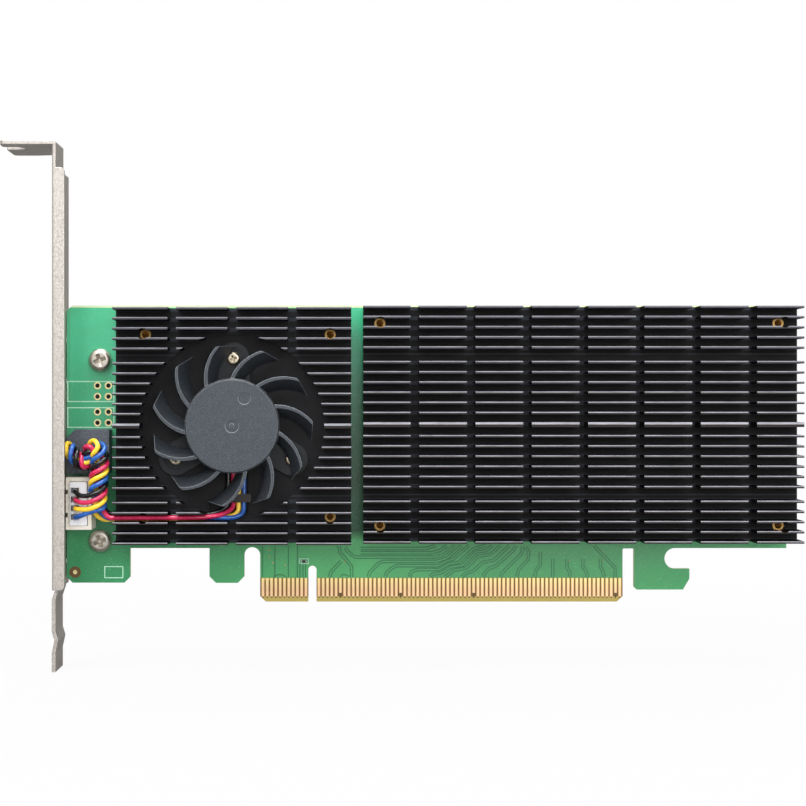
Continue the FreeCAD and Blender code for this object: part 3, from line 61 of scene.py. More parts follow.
MM = 0.001
COLOURS = ("black", "red", "yellow", "blue")

board_low, board_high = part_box("circuit_board")
FACE = board_low.y                      # component face of the board
contacts_low, contacts_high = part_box("edge_contacts")

# Edge contacts, in millimetres.
CONTACT_PITCH = 1.0
HALF_CONTACT = 0.35

# The lane of open board between the two heatsinks, and how low they reach.
LANE_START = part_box("switch_heatsink")[1].x
LANE_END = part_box("drive_heatsink")[0].x
HEATSINK_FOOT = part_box("drive_heatsink")[0].z

# Fins, in millimetres from the middle one: an inner group, a wider gap, then an outer group.
FIRST_FIN = 2.61
OUTER_FIN = 17.36
FIN_PITCH = 2.29
MIDDLE_FIN_REACH = 1.3

# The round well that the fan sits in, milled smooth.
impeller_low, impeller_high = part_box("impeller")
FAN_AXIS = (impeller_low + impeller_high) / 2
WELL_RADIUS = 20.8

CORNER_SAMPLES = 6                      # rays that a rounded-corner node sends out


# ---------------------------------------------------------------- helpers
def linear(colour):
    """Turns an sRGB hex value into linear RGBA."""
    values = [int(colour[index:index + 2], 16) / 255 for index in (1, 3, 5)]
    return [v / 12.92 if v <= 0.04045 else ((v + 0.055) / 1.055) ** 2.4 for v in values] + [1]


def add(tree, kind, inputs=None, **settings):
    """Adds a node with its settings; an input is a value, another node's output, or the node itself."""
    made = tree.nodes.new("ShaderNode" + kind)
    for name, value in settings.items():
        setattr(made, name, value)
    for name, value in (inputs or {}).items():
        if isinstance(value, bpy.types.Node):
            value = next(output for output in value.outputs if output.enabled)
        if isinstance(value, bpy.types.NodeSocket):
            tree.links.new(value, made.inputs[name])
        elif isinstance(value, str):
            made.inputs[name].default_value = linear(value)
        else:
            made.inputs[name].default_value = value
    return made


def per_mm(size):
    """A texture scale that gives features of that size in millimetres."""
    return 1 / (size * MM)


def start(name):
    """A new material: its tree, its shader and the object's own coordinates."""
    material = bpy.data.materials.new(name)
    material.use_nodes = True
    tree = material.node_tree
    shader = tree.nodes["Principled BSDF"]
    place = add(tree, "TexCoord").outputs["Object"]
    return material, tree, shader, place


def finish(tree, shader, colour, roughness, height, depth, edge=0.0, **sockets):
    """Wires colour, roughness and relief into the shader; the other sockets take plain numbers.

    A finish with an edge catches light on its corners as if they were rounded by that many millimetres.
    """
    for node, socket in ((colour, "Base Color"), (roughness, "Roughness")):
        output = next(output for output in node.outputs if output.enabled)
        tree.links.new(output, shader.inputs[socket])
    relief = {"Height": height, "Distance": depth * MM, "Strength": 1.0}
    if edge:
        relief["Normal"] = add(tree, "Bevel", {"Radius": edge * MM}, samples=CORNER_SAMPLES)
    tree.links.new(add(tree, "Bump", relief).outputs["Normal"], shader.inputs["Normal"])
    for socket, value in sockets.items():
        shader.inputs[socket.replace("_", " ")].default_value = value


def grained(name, dark, light, grain, roughness, bump, stretch=(1, 1, 1), edge=0.0, **sockets):
    """A finish with one grain: two close colours, a roughness range and a low relief."""
    material, tree, shader, place = start(name)
    stretched = add(tree, "Mapping", {"Vector": place, "Scale": stretch})
    spots = add(tree, "TexNoise", {"Vector": stretched, "Scale": per_mm(grain), "Detail": 4.0,
                                   "Roughness": 0.6})
    share = add(tree, "MapRange", {"Value": spots, "From Min": 0.3, "From Max": 0.7})
    colour = add(tree, "Mix", {0: share, 6: dark, 7: light}, data_type="RGBA")
    rough = add(tree, "MapRange", {"Value": share, "To Min": roughness[0], "To Max": roughness[1]})
    finish(tree, shader, colour, rough, spots, bump, edge, **sockets)
    return material


def finish_node(node, material):
    """Gives a CAD node its finish."""
    slots = nodes[node].data.materials
    slots.clear()
    slots.append(material)


def new_piece(name, form, materials, body="card"):
    """Turns a bmesh into a piece that rides on a body."""
    data = bpy.data.meshes.new(name)
    form.to_mesh(data)
    form.free()
    piece = bpy.data.objects.new(name, data)
    bpy.context.scene.collection.objects.link(piece)
    for material in materials:
        data.materials.append(material)
    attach(piece, body)
    return piece


# ---------------------------------------------------------------- finishes
def beside_contact(tree, x):
    """How far a point lies from the middle line of the nearest edge contact."""
    half_pitch = CONTACT_PITCH / 2 * MM
    offset = add(tree, "Math", {0: x, 1: contacts_low.x + HALF_CONTACT * MM}, operation="SUBTRACT")
    nearest = add(tree, "Math", {0: offset, 1: half_pitch, 2: -half_pitch}, operation="WRAP")
    return add(tree, "Math", {0: nearest}, operation="ABSOLUTE")


def solder_mask():
    """Glossy liquid-printed mask over copper and glass laminate.

    It is painted paler towards the upper left, where the light comes from, and painted shade darkens it
    below the long heatsink and in the lane between the heatsinks.  The sawn edges show pale resin, a pale
    strip along the top is painted light shining through the laminate, and round the contacts the laminate is
    bare, with the ends of the plating bars as dark marks on its bevel.
    """
    material, tree, shader, place = start("liquid_solder_mask")
    axis = add(tree, "SeparateXYZ", {"Vector": place})
    x, z = axis.outputs["X"], axis.outputs["Z"]
    cloud = add(tree, "TexNoise", {"Vector": place, "Scale": per_mm(9), "Detail": 3.0})
    fibre = add(tree, "TexNoise", {"Vector": place, "Scale": per_mm(0.35), "Detail": 2.0})

    # Painted light: paler towards the upper left, where the light comes from, and yellower at the far end.
    height = add(tree, "MapRange", {"Value": z, "From Min": 20 * MM, "From Max": 62 * MM})
    left = add(tree, "Mix", {0: height, 6: "#328A58", 7: "#46BA8B"}, data_type="RGBA")
    along = add(tree, "MapRange", {"Value": x, "From Min": -42 * MM, "From Max": 0.0})
    mask_and_painted_light = add(tree, "Mix", {0: along, 6: left, 7: "#4CAA66"}, data_type="RGBA")
    far = add(tree, "MapRange", {"Value": x, "From Min": 66 * MM, "From Max": 88 * MM})
    mask_and_painted_light = add(tree, "Mix", {0: far, 6: mask_and_painted_light, 7: "#3AA45F"}, data_type="RGBA")
    # Painted shade just below the long heatsink.
    under = add(tree, "MapRange", {"Value": x, "From Min": 14 * MM, "From Max": 40 * MM})
    low_part = add(tree, "MapRange", {"Value": z, "From Min": 16 * MM, "From Max": 11 * MM,
                                      "To Max": 0.4})
    under = add(tree, "Math", {0: under, 1: low_part}, operation="MULTIPLY")
    mask_and_painted_light = add(tree, "Mix", {0: under, 6: mask_and_painted_light, 7: "#2C7A48"}, data_type="RGBA")
    # Painted shade in the lane between the heatsinks, on the component side only.
    right_of = add(tree, "Math", {0: x, 1: LANE_START}, operation="GREATER_THAN")
    left_of = add(tree, "Math", {0: x, 1: LANE_END}, operation="LESS_THAN")
    between = add(tree, "Math", {0: right_of, 1: left_of}, operation="MULTIPLY")
    shelter = add(tree, "MapRange", {"Value": z, "From Min": HEATSINK_FOOT - 0.3 * MM,
                                     "From Max": HEATSINK_FOOT + 2 * MM})
    between = add(tree, "Math", {0: between, 1: shelter}, operation="MULTIPLY")
    normal = add(tree, "SeparateXYZ", {"Vector": add(tree, "NewGeometry").outputs["Normal"]})
    component_side = add(tree, "Math", {0: normal.outputs["Y"], 1: -0.9}, operation="LESS_THAN")
    between = add(tree, "Math", {0: between, 1: component_side}, operation="MULTIPLY")
    lane_top = add(tree, "MapRange", {"Value": z, "From Min": 30 * MM, "From Max": 64 * MM})
    lane_painted_shade = add(tree, "Mix", {0: lane_top, 6: "#1B5B3A", 7: "#1FAE7C"}, data_type="RGBA")
    mask_and_painted_light = add(tree, "Mix", {0: between, 6: mask_and_painted_light, 7: lane_painted_shade}, data_type="RGBA")
    # Soft mottling, pale specks painted as glints of the fibres under the mask, and a darker margin beside
    # the bracket.
    dimmed = add(tree, "MapRange", {"Value": cloud, "From Min": 0.45, "From Max": 0.7, "To Max": 0.4})
    mask_and_painted_light = add(tree, "Mix", {0: dimmed, 6: mask_and_painted_light, 7: "#3D9259"}, data_type="RGBA")
    painted_fibre_glint = add(tree, "MapRange", {"Value": fibre, "From Min": 0.6, "From Max": 0.78, "To Max": 0.45})
    mask_and_painted_light = add(tree, "Mix", {0: painted_fibre_glint, 6: mask_and_painted_light, 7: "#7CD0A4"}, data_type="RGBA")
    margin = add(tree, "MapRange", {"Value": x, "From Min": board_low.x + 0.9 * MM,
                                    "From Max": board_low.x + 0.6 * MM, "To Max": 0.35})
    mask_and_painted_light = add(tree, "Mix", {0: margin, 6: mask_and_painted_light, 7: "#2E7D50"}, data_type="RGBA")

    # Pale resin on the sawn edges; along the top, a pale strip painted as light from above shining through
    # the laminate.
    facing = add(tree, "Math", {0: normal.outputs["Y"]}, operation="ABSOLUTE")
    cut = add(tree, "Math", {0: facing, 1: 0.9}, operation="LESS_THAN")
    painted_top_glow = add(tree, "Math", {0: z, 1: board_high.z - 0.45 * MM}, operation="GREATER_THAN")
    resin_and_painted_glow = add(tree, "Math", {0: cut, 1: painted_top_glow}, operation="MAXIMUM")
    colour = add(tree, "Mix", {0: resin_and_painted_glow, 6: mask_and_painted_light, 7: "#CFDDB0"}, data_type="RGBA")

    # Bare laminate round the contacts, darker between them than on the bevel below.
    below = add(tree, "Math", {0: z, 1: contacts_high.z + 0.05 * MM}, operation="LESS_THAN")
    past = add(tree, "Math", {0: x, 1: contacts_low.x - MM}, operation="GREATER_THAN")
    before = add(tree, "Math", {0: x, 1: contacts_high.x + MM}, operation="LESS_THAN")
    tab = add(tree, "Math", {0: past, 1: before}, operation="MULTIPLY")
    bare = add(tree, "Math", {0: below, 1: tab}, operation="MULTIPLY")
    depth = add(tree, "MapRange", {"Value": z, "From Min": 1.2 * MM, "From Max": 1.35 * MM})
    laminate = add(tree, "Mix", {0: depth, 6: "#B4A056", 7: "#6C4E26"}, data_type="RGBA")
    bar = add(tree, "Math", {0: beside_contact(tree, x), 1: 0.18 * MM}, operation="LESS_THAN")
    low_end = add(tree, "Math", {0: z, 1: 0.9 * MM}, operation="GREATER_THAN")
    bar = add(tree, "Math", {0: bar, 1: low_end}, operation="MULTIPLY")
    laminate = add(tree, "Mix", {0: bar, 6: laminate, 7: "#5A4424"}, data_type="RGBA")
    colour = add(tree, "Mix", {0: bare, 6: colour, 7: laminate}, data_type="RGBA")

    matt = add(tree, "Math", {0: resin_and_painted_glow, 1: bare}, operation="MAXIMUM")
    rough = add(tree, "MapRange", {"Value": matt, "To Min": 0.3, "To Max": 0.7})
    finish(tree, shader, colour, rough, fibre, 0.006, Coat_Weight=0.2, Coat_Roughness=0.2)
    return material


def contact_gold():
    """Hard gold over nickel: pale and bright at the top, rubbed and copper-pink where cards slide in."""
    material, tree, shader, place = start("hard_gold_plate")
    axis = add(tree, "SeparateXYZ", {"Vector": place})
    drawn = add(tree, "Mapping", {"Vector": place, "Scale": (4, 1, 0.3)})
    spots = add(tree, "TexNoise", {"Vector": drawn, "Scale": per_mm(0.8), "Detail": 4.0})
    worn = add(tree, "MapRange", {"Value": axis.outputs["Z"], "From Min": contacts_high.z - 0.4 * MM,
                                  "From Max": contacts_low.z + 1.6 * MM})
    colour = add(tree, "Mix", {0: worn, 6: "#F8DC8C", 7: "#EBBB8A"}, data_type="RGBA")
    aside = beside_contact(tree, axis.outputs["X"])
    crown = add(tree, "MapRange", {"Value": aside, "From Min": 0.2 * MM, "From Max": 0.04 * MM,
                                   "To Max": 0.55})
    colour = add(tree, "Mix", {0: crown, 6: colour, 7: "#FFEBC0"}, data_type="RGBA")
    rim = add(tree, "MapRange", {"Value": aside, "From Min": 0.26 * MM, "From Max": 0.34 * MM,
                                 "To Max": 0.6})
    colour = add(tree, "Mix", {0: rim, 6: colour, 7: "#A0733C"}, data_type="RGBA")
    rough = add(tree, "MapRange", {"Value": spots, "To Min": 0.3, "To Max": 0.5})
    finish(tree, shader, colour, rough, spots, 0.004, Metallic=0.6)
    return material


def anodised_fins(name, node, floor_dark, floor_light):
    """Black anodised extrusion; the saw leaves each fin tip grey, with a highlight painted on its upper edge
    where light from above catches it, and painted shade below.

    Where the cross cuts run, a faint grey line on the floor shows where each fin was cut away.
    """
    material, tree, shader, place = start(name)
    low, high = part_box(node)
    axis = add(tree, "SeparateXYZ", {"Vector": place})
    blast = add(tree, "TexNoise", {"Vector": place, "Scale": per_mm(0.3), "Detail": 3.0})
    drawn = add(tree, "Mapping", {"Vector": place, "Scale": (0.12, 1, 1)})
    drawn = add(tree, "TexNoise", {"Vector": drawn, "Scale": per_mm(0.5), "Detail": 4.0})

    # Where a point lies within its fin, measured away from the heatsink's middle line.
    rise = add(tree, "Math", {0: axis.outputs["Z"], 1: (low.z + high.z) / 2}, operation="SUBTRACT")
    off = add(tree, "Math", {0: rise}, operation="ABSOLUTE")
    outer = add(tree, "Math", {0: off, 1: (OUTER_FIN - FIN_PITCH / 2) * MM}, operation="GREATER_THAN")
    first = add(tree, "Math", {0: outer, 1: (OUTER_FIN - FIRST_FIN) * MM, 2: FIRST_FIN * MM},
                operation="MULTIPLY_ADD")
    past = add(tree, "Math", {0: off, 1: first}, operation="SUBTRACT")
    half_pitch = FIN_PITCH / 2 * MM
    local = add(tree, "Math", {0: past, 1: half_pitch, 2: -half_pitch}, operation="WRAP")
    middle = add(tree, "Math", {0: off, 1: MIDDLE_FIN_REACH * MM}, operation="LESS_THAN")
    local = add(tree, "Mix", {0: middle, 2: local, 3: off})
    side = add(tree, "Math", {0: rise}, operation="SIGN")
    above = add(tree, "Math", {0: local, 1: side}, operation="MULTIPLY")

    normal = add(tree, "SeparateXYZ", {"Vector": add(tree, "NewGeometry").outputs["Normal"]})
    front = add(tree, "Math", {0: normal.outputs["Y"], 1: -0.8}, operation="LESS_THAN")
    at_tip = add(tree, "Math", {0: axis.outputs["Y"], 1: low.y + 0.1 * MM}, operation="LESS_THAN")
    tip = add(tree, "Math", {0: front, 1: at_tip}, operation="MULTIPLY")

    # The sawn tip, grey, with painted light: painted shade on its lower part, a bright ragged painted
    # highlight on its upper edge.
    painted_tip_highlight = add(tree, "MapRange", {"Value": above, "From Min": 0.0, "From Max": 0.12 * MM})
    ragged = add(tree, "MapRange", {"Value": drawn, "From Min": 0.3, "From Max": 0.65, "To Min": 0.55})
    painted_tip_highlight = add(tree, "Math", {0: painted_tip_highlight, 1: ragged}, operation="MULTIPLY")
    sawn_tip_and_painted_light = add(tree, "Mix", {0: painted_tip_highlight, 6: "#2E2A29", 7: "#A6A6AE"}, data_type="RGBA")
    # Painted shade: the tips on the rows high above the middle are dimmed towards a mid grey.
    upper_rows_painted_dim = add(tree, "MapRange", {"Value": rise, "From Min": 4 * MM, "From Max": 24 * MM,
                                     "To Max": 0.4})
    sawn_tip_and_painted_light = add(tree, "Mix", {0: upper_rows_painted_dim, 6: sawn_tip_and_painted_light, 7: "#55555E"}, data_type="RGBA")

    skin = add(tree, "Mix", {0: blast, 6: "#050506", 7: "#0C0B0B"}, data_type="RGBA")
    floor = add(tree, "Mix", {0: blast, 6: floor_dark, 7: floor_light}, data_type="RGBA")
    aside = add(tree, "Math", {0: local}, operation="ABSOLUTE")
    stub = add(tree, "MapRange", {"Value": aside, "From Min": 0.5 * MM, "From Max": 0.35 * MM,
                                  "To Max": 0.8})
    across = add(tree, "VectorMath", {0: place, 1: FAN_AXIS}, operation="SUBTRACT")
    across = add(tree, "VectorMath", {0: across, 1: (1, 0, 1)}, operation="MULTIPLY")
    reach = add(tree, "VectorMath", {0: across}, operation="LENGTH").outputs["Value"]
    outside = add(tree, "Math", {0: reach, 1: WELL_RADIUS * MM}, operation="GREATER_THAN")
    stub = add(tree, "Math", {0: stub, 1: outside}, operation="MULTIPLY")
    floor = add(tree, "Mix", {0: stub, 6: floor, 7: "#30343B"}, data_type="RGBA")
    skin = add(tree, "Mix", {0: front, 6: skin, 7: floor}, data_type="RGBA")
    colour = add(tree, "Mix", {0: tip, 6: skin, 7: sawn_tip_and_painted_light}, data_type="RGBA")
    rough = add(tree, "MapRange", {"Value": drawn, "To Min": 0.42, "To Max": 0.6})
    metal = add(tree, "Math", {0: tip, 1: 0.5}, operation="MULTIPLY")
    tree.links.new(metal.outputs[0], shader.inputs["Metallic"])
    finish(tree, shader, colour, rough, blast, 0.008, Specular_IOR_Level=0.15)
    return material


def moulded_impeller():
    """Grey-black glass-filled PBT: spark-grained; faces square to the axis painted paler as lit and the
    slopes darker as shaded, with painted glints and a painted highlight along the edges.
    """
    material, tree, shader, place = start("moulded_pbt")
    spark = add(tree, "TexNoise", {"Vector": place, "Scale": per_mm(0.28), "Detail": 4.0, "Roughness": 0.75})
    share = add(tree, "MapRange", {"Value": spark, "From Min": 0.35, "From Max": 0.7})
    # Painted light: faces square to the axis paler, as lit, and the slopes darker, as shaded.
    normal = add(tree, "TexCoord").outputs["Normal"]
    along_axis = add(tree, "SeparateXYZ", {"Vector": normal}).outputs["Y"]
    facing = add(tree, "Math", {0: along_axis}, operation="ABSOLUTE")
    flat = add(tree, "MapRange", {"Value": facing, "From Min": 0.75, "From Max": 0.97})
    slope = add(tree, "Mix", {0: share, 6: "#131518", 7: "#3C4147"}, data_type="RGBA")
    crown = add(tree, "Mix", {0: share, 6: "#22272C", 7: "#434A52"}, data_type="RGBA")
    colour = add(tree, "Mix", {0: flat, 6: slope, 7: crown}, data_type="RGBA")
    # Pale specks painted as glints of the glass filler.
    painted_sparkle = add(tree, "MapRange", {"Value": spark, "From Min": 0.64, "From Max": 0.78, "To Max": 0.6})
    colour = add(tree, "Mix", {0: painted_sparkle, 6: colour, 7: "#9AA0A6"}, data_type="RGBA")
    # Painted highlight along the edges, where a rounded-corner normal turns away from the true one.
    rounded = add(tree, "Bevel", {"Radius": 0.16 * MM}, samples=CORNER_SAMPLES)
    turned = add(tree, "VectorMath", {0: rounded, 1: add(tree, "NewGeometry").outputs["Normal"]},
                 operation="DOT_PRODUCT").outputs["Value"]
    rim = add(tree, "MapRange", {"Value": turned, "From Min": 0.98, "From Max": 0.8, "To Max": 0.6})
    colour = add(tree, "Mix", {0: rim, 6: colour, 7: "#BCC4CC"}, data_type="RGBA")
    rough = add(tree, "MapRange", {"Value": share, "To Min": 0.34, "To Max": 0.5})
    finish(tree, shader, colour, rough, spark, 0.035, 0.25)
    return material


FINISHES = {
    "mask": solder_mask(),
    "gold": contact_gold(),
    # mask over raised copper: the same green, darker
    "trace": grained("masked_copper_trace", "#256F42", "#307F4F", 0.6, (0.3, 0.4), 0.004),
    # bright zinc-nickel sheet with the fine spangle of its plating, drawn out along the strip
    "bracket": grained("nickel_plated_sheet_steel", "#ABA49D", "#D2CCC5", 0.3, (0.34, 0.5), 0.004,
                       (1, 1, 0.6), 0.25, Metallic=0.7),
    # bright nickel on steel, faintly warm, with soft reflections
    "nickel": grained("nickel_plated_screw", "#C4BCB0", "#E6DFD4", 0.8, (0.36, 0.46), 0.001, Metallic=1.0),
    # thin brass-tinted plating: paler than brass, warmer than nickel
    "warm_screw": grained("brass_plated_screw", "#C2B59E", "#E4D8C2", 0.8, (0.3, 0.42), 0.001, Metallic=1.0),
    "switch_fins": anodised_fins("anodised_square_fins", "switch_heatsink", "#101012", "#1D1D20"),
    # painted shade: the floor between the long fins is darker than the square heatsink's floor
    "drive_fins": anodised_fins("anodised_long_fins", "drive_heatsink", "#060606", "#0C0B0C"),
    # powder coat: soft sheen with a fine orange peel
    "fan_base": grained("black_coated_sheet", "#121416", "#1E2226", 0.5, (0.38, 0.5), 0.006,
                         Specular_IOR_Level=0.3),
    # turned brass: rings from the tool, dulled to amber
    "brass": grained("turned_brass", "#80643A", "#B8945A", 0.35, (0.3, 0.46), 0.006, Metallic=0.9),
    "impeller": moulded_impeller(),
    # spark-eroded mould surface: matt charcoal with pale rounded edges
    "abs_black": grained("moulded_black_abs", "#363A43", "#606772", 0.3, (0.5, 0.7), 0.015, edge=0.25),
    # natural nylon: creamy, a little waxy
    "nylon_ivory": grained("moulded_ivory_nylon", "#F0E8D4", "#FFFAF0", 1.6, (0.38, 0.55), 0.004, edge=0.15),
    # whitened nylon: cold white beside the header
    "nylon_white": grained("moulded_white_nylon", "#F2F2FA", "#FFFFFF", 1.2, (0.36, 0.5), 0.004, edge=0.12),
    # thin moulded strap: dull brown-black
    "clip": grained("moulded_brown_clip", "#1E1818", "#332A28", 0.5, (0.5, 0.65), 0.01),
    # ground shaft steel and stamped laminations: clean grey
    "steel": grained("ground_steel", "#8D8D90", "#B9B9BC", 0.3, (0.25, 0.4), 0.003, Metallic=1.0),
    # sintered bronze: brown, porous and oily
    "bronze": grained("sintered_bronze", "#6A4A2C", "#8F6A42", 0.2, (0.45, 0.6), 0.01, Metallic=0.9),
    # ferrite powder in rubber: flat black
    "magnet": grained("bonded_ferrite", "#1B1B1C", "#2A2A2C", 0.2, (0.6, 0.75), 0.01),
    # enamelled winding wire: glossy copper in fine turns
    "copper": grained("enamelled_copper", "#8E4622", "#C06A38", 0.25, (0.25, 0.4), 0.02, (1, 8, 1),
                      Metallic=0.9),
    # filled silicone sheet: chalky blue-grey
    "pad": grained("silicone_gap_pad", "#6D7480", "#848B96", 0.8, (0.7, 0.85), 0.02),
    # filled epoxy moulding compound: matt black, faintly sandy
    "epoxy": grained("moulded_epoxy", "#161618", "#242427", 0.3, (0.45, 0.6), 0.01),
    # fired barium titanate: smooth tan
    "ceramic": grained("fired_ceramic", "#8A6E50", "#A98B68", 0.4, (0.4, 0.55), 0.004),
    # epoxy legend ink: thin enough to let a little green through
    "silk": grained("legend_ink", "#9ED9B8", "#C8F0D8", 0.5, (0.55, 0.7), 0.003),
    # immersion gold round plated holes
    "pad_gold": grained("immersion_gold", "#E6CE88", "#FFF3C4", 0.4, (0.3, 0.45), 0.003, Metallic=0.5),
    # matt black filler in the plated holes
    "filler": grained("hole_filling_resin", "#060606", "#0E0E0E", 0.4, (0.7, 0.85), 0.004),
    # reflowed tin: bright and slightly uneven
    "tin": grained("reflowed_tin", "#A9A9AC", "#D8D8DA", 0.3, (0.3, 0.45), 0.004, Metallic=0.9),
    # mask that has sunk over a plated hole: small tan dots
    "tan_dot": grained("tented_via", "#86824A", "#A69E60", 0.3, (0.4, 0.55), 0.003),
    # laminate left bare round the sighting mark: brown and dull
    "bare_resin": grained("bare_laminate", "#503814", "#73552A", 0.3, (0.5, 0.65), 0.004),
    # extruded PVC insulation: smooth, with a soft wet highlight
    "wire_black": grained("pvc_black", "#0E0E0F", "#1C1C1E", 0.8, (0.1, 0.2), 0.004),
    "wire_red": grained("pvc_red", "#B01B44", "#CE335B", 0.8, (0.1, 0.2), 0.004),
    "wire_yellow": grained("pvc_yellow", "#E8B820", "#F7D34A", 0.8, (0.1, 0.2), 0.004),
    "wire_blue": grained("pvc_blue", "#184490", "#3268B8", 0.8, (0.1, 0.2), 0.004),
}

NODE_FINISH = {
    "mask": ("circuit_board", "fan_motor_board"),
    "gold": ("edge_contacts",),
    "pad_gold": ("fan_header_pins", "plug_terminals"),
    "bracket": ("io_bracket",),
    "nickel": ("bracket_screws", "heatsink_screws", "m2_standoffs", "m2_screws"),
    "warm_screw": ("fan_screws",),
    "switch_fins": ("switch_heatsink",),
    "drive_fins": ("drive_heatsink",),
    "fan_base": ("fan_base",),
    "brass": ("switch_heatsink_posts", "drive_heatsink_posts"),
    "impeller": ("impeller",),
    "abs_black": ("alarm_buzzer", "m2_socket_upper", "m2_socket_lower"),
    "nylon_ivory": ("fan_header",),
    "nylon_white": ("fan_plug", "shaft_retaining_ring"),
    "clip": ("fan_cable_clip",),
    "steel": ("fan_shaft", "rotor_yoke", "fan_stator"),
    "bronze": ("fan_bearing",),
    "magnet": ("rotor_magnet",),
    "copper": ("fan_coils",),
    "pad": ("switch_thermal_pad", "drive_thermal_pads"),
    "epoxy": ("switch_chip", "power_inductors", "regulator_chips"),
    "ceramic": ("power_capacitors",),
}
for finish_name, names in NODE_FINISH.items():
    for name in names:
        finish_node(name, FINISHES[finish_name])


# ---------------------------------------------------------------- the fan lead
# Routes as (x, rise, height above the component face), in millimetres.
WIRE_ROUTES = {
    "black": [(-19.15, 33.7, 6.35), (-19.15, 24.1, 6.45), (-19.15, 22.6, 7.3), (-22.5, 20.6, 7.58),
              (-34.9, 20.6, 7.64), (-44.6, 20.6, 7.58), (-46.4, 21.0, 7.4), (-47.6, 22.3, 7.0)],
    "red": [(-17.95, 33.7, 6.35), (-17.95, 24.1, 6.45), (-17.95, 22.0, 7.3), (-21.7, 20.3, 11.0),
            (-34.9, 20.3, 11.1), (-44.2, 20.25, 11.1), (-46.0, 20.3, 11.0), (-47.1, 21.8, 10.7),
            (-48.2, 23.6, 9.4)],
    "yellow": [(-16.75, 33.7, 6.35), (-16.75, 24.1, 6.45), (-16.75, 20.2, 7.45), (-25.9, 20.05, 8.89),
               (-34.9, 20.05, 8.9), (-44.4, 20.0, 8.85), (-46.8, 19.6, 8.7), (-48.6, 20.3, 8.7),
               (-49.8, 21.9, 8.6)],
    "blue": [(-15.55, 33.7, 6.35), (-15.55, 24.1, 6.45), (-15.55, 20.0, 8.2), (-23.6, 20.25, 9.96),
             (-34.9, 20.25, 9.98), (-44.4, 20.2, 9.96), (-46.2, 20.0, 9.8), (-47.8, 21.2, 9.7),
             (-49.0, 23.0, 8.6)]}
# The bundle's middle line and, last, how far the strands stand off it: under the plug's wires, up over
# the buzzer, round behind the bracket's lip, down in a tight fold, over an arch and down to the plug.
ROPE = [
    (-48.3, 24.6, 7.3, 1.1), (-47.9, 27.4, 6.9, 1.15), (-48.4, 30.2, 7.3, 1.15), (-50.4, 32.4, 7.6, 1.15),
    (-53.2, 33.6, 7.6, 1.15), (-55.3, 35.4, 8.0, 1.15), (-55.2, 36.4, 9.9, 1.2), (-54.2, 35.2, 10.9, 1.4),
    (-52.8, 33.2, 11.2, 1.4), (-51.6, 31.9, 10.8, 1.1), (-50.8, 33.4, 10.6, 1.1), (-50.3, 35.4, 11.2, 1.3),
    (-49.2, 36.9, 11.6, 1.5), (-47.9, 35.9, 11.6, 1.6), (-47.8, 33.4, 11.7, 1.8), (-48.0, 30.4, 11.6, 1.85),
    (-48.2, 27.4, 11.6, 1.85), (-48.3, 24.9, 11.5, 1.85), (-48.5, 22.6, 11.2, 1.8)]
# From the bundle's front over to the plug.
TAIL_ROUTES = {
    "black": [(-48.3, 26.0, 13.3), (-50.3, 25.3, 13.0), (-52.3, 25.3, 12.0), (-53.5, 26.2, 10.8)],
    "red": [(-48.2, 24.6, 13.3), (-50.2, 23.8, 13.0), (-52.2, 23.8, 12.0), (-53.5, 24.3, 10.7)],
    "yellow": [(-48.3, 23.0, 13.1), (-50.2, 22.3, 12.6), (-52.2, 22.2, 11.7), (-53.5, 22.3, 10.6)],
    "blue": [(-49.0, 22.0, 12.4), (-50.9, 21.3, 11.9), (-52.4, 20.7, 11.2), (-53.5, 20.3, 10.4)]}
# The lead's middle line from the fan to the twisted part, and from there into the plug.
BUNDLE_START = [(-17.35, 33.7, 6.35), (-17.35, 24.1, 6.45), (-17.0, 20.8, 8.0), (-24.0, 20.3, 9.3),
                (-34.9, 20.3, 9.35), (-43.0, 20.3, 9.3), (-46.5, 20.5, 9.3), (-48.1, 22.4, 8.6)]
BUNDLE_END = [(-50.2, 22.9, 11.4), (-53.0, 23.3, 10.0), (-53.6, 23.3, 7.3)]
WIRE_DIAMETER = 1.1
TWIST_PITCH = 6.4
HELIX_STEPS = 8                         # control points for each turn of the twist
LEAVING_SIDE = Vector((0.85, -0.5, 0.0))
# How far before the pins and above the plug's top a wire comes in, and where it ends inside.
WIRE_ENTRY = ((-0.55, 1.05), (-0.7, -1.3))


def row(point):
    """A board place in millimetres as a point of the shared frame."""
    x, rise, height = point[:3]
    return Vector((x * MM, FACE - height * MM, rise * MM))


def smooth_line(points, resolution=10):
    """Points read from the open NURBS spline over these control points."""
    curve = bpy.data.curves.new("route", "CURVE")
    curve.dimensions = "3D"
    spline = curve.splines.new("NURBS")
    spline.points.add(len(points) - 1)
    for target, point in zip(spline.points, points):
        target.co = (*point, 1)
    spline.order_u = 3
    spline.use_endpoint_u = True
    spline.resolution_u = resolution
    holder = bpy.data.objects.new("route", curve)
    bpy.context.scene.collection.objects.link(holder)
    mesh = bpy.data.meshes.new_from_object(holder)
    line = [vertex.co.copy() for vertex in mesh.vertices]
    bpy.data.objects.remove(holder)
    bpy.data.meshes.remove(mesh)
    bpy.data.curves.remove(curve)
    return line


def carried_frames(line):
    """A side vector at every point of a line, carried along it without twist."""
    last = len(line) - 1
    tangents = [(line[min(index + 1, last)] - line[max(index - 1, 0)]).normalized()
                for index in range(len(line))]
    side = tangents[0].orthogonal().normalized()
    sides = [side]
    for before, after in zip(tangents, tangents[1:]):
        side = before.rotation_difference(after) @ side
        side = (side - after * side.dot(after)).normalized()
        sides.append(side)
    return tangents, sides


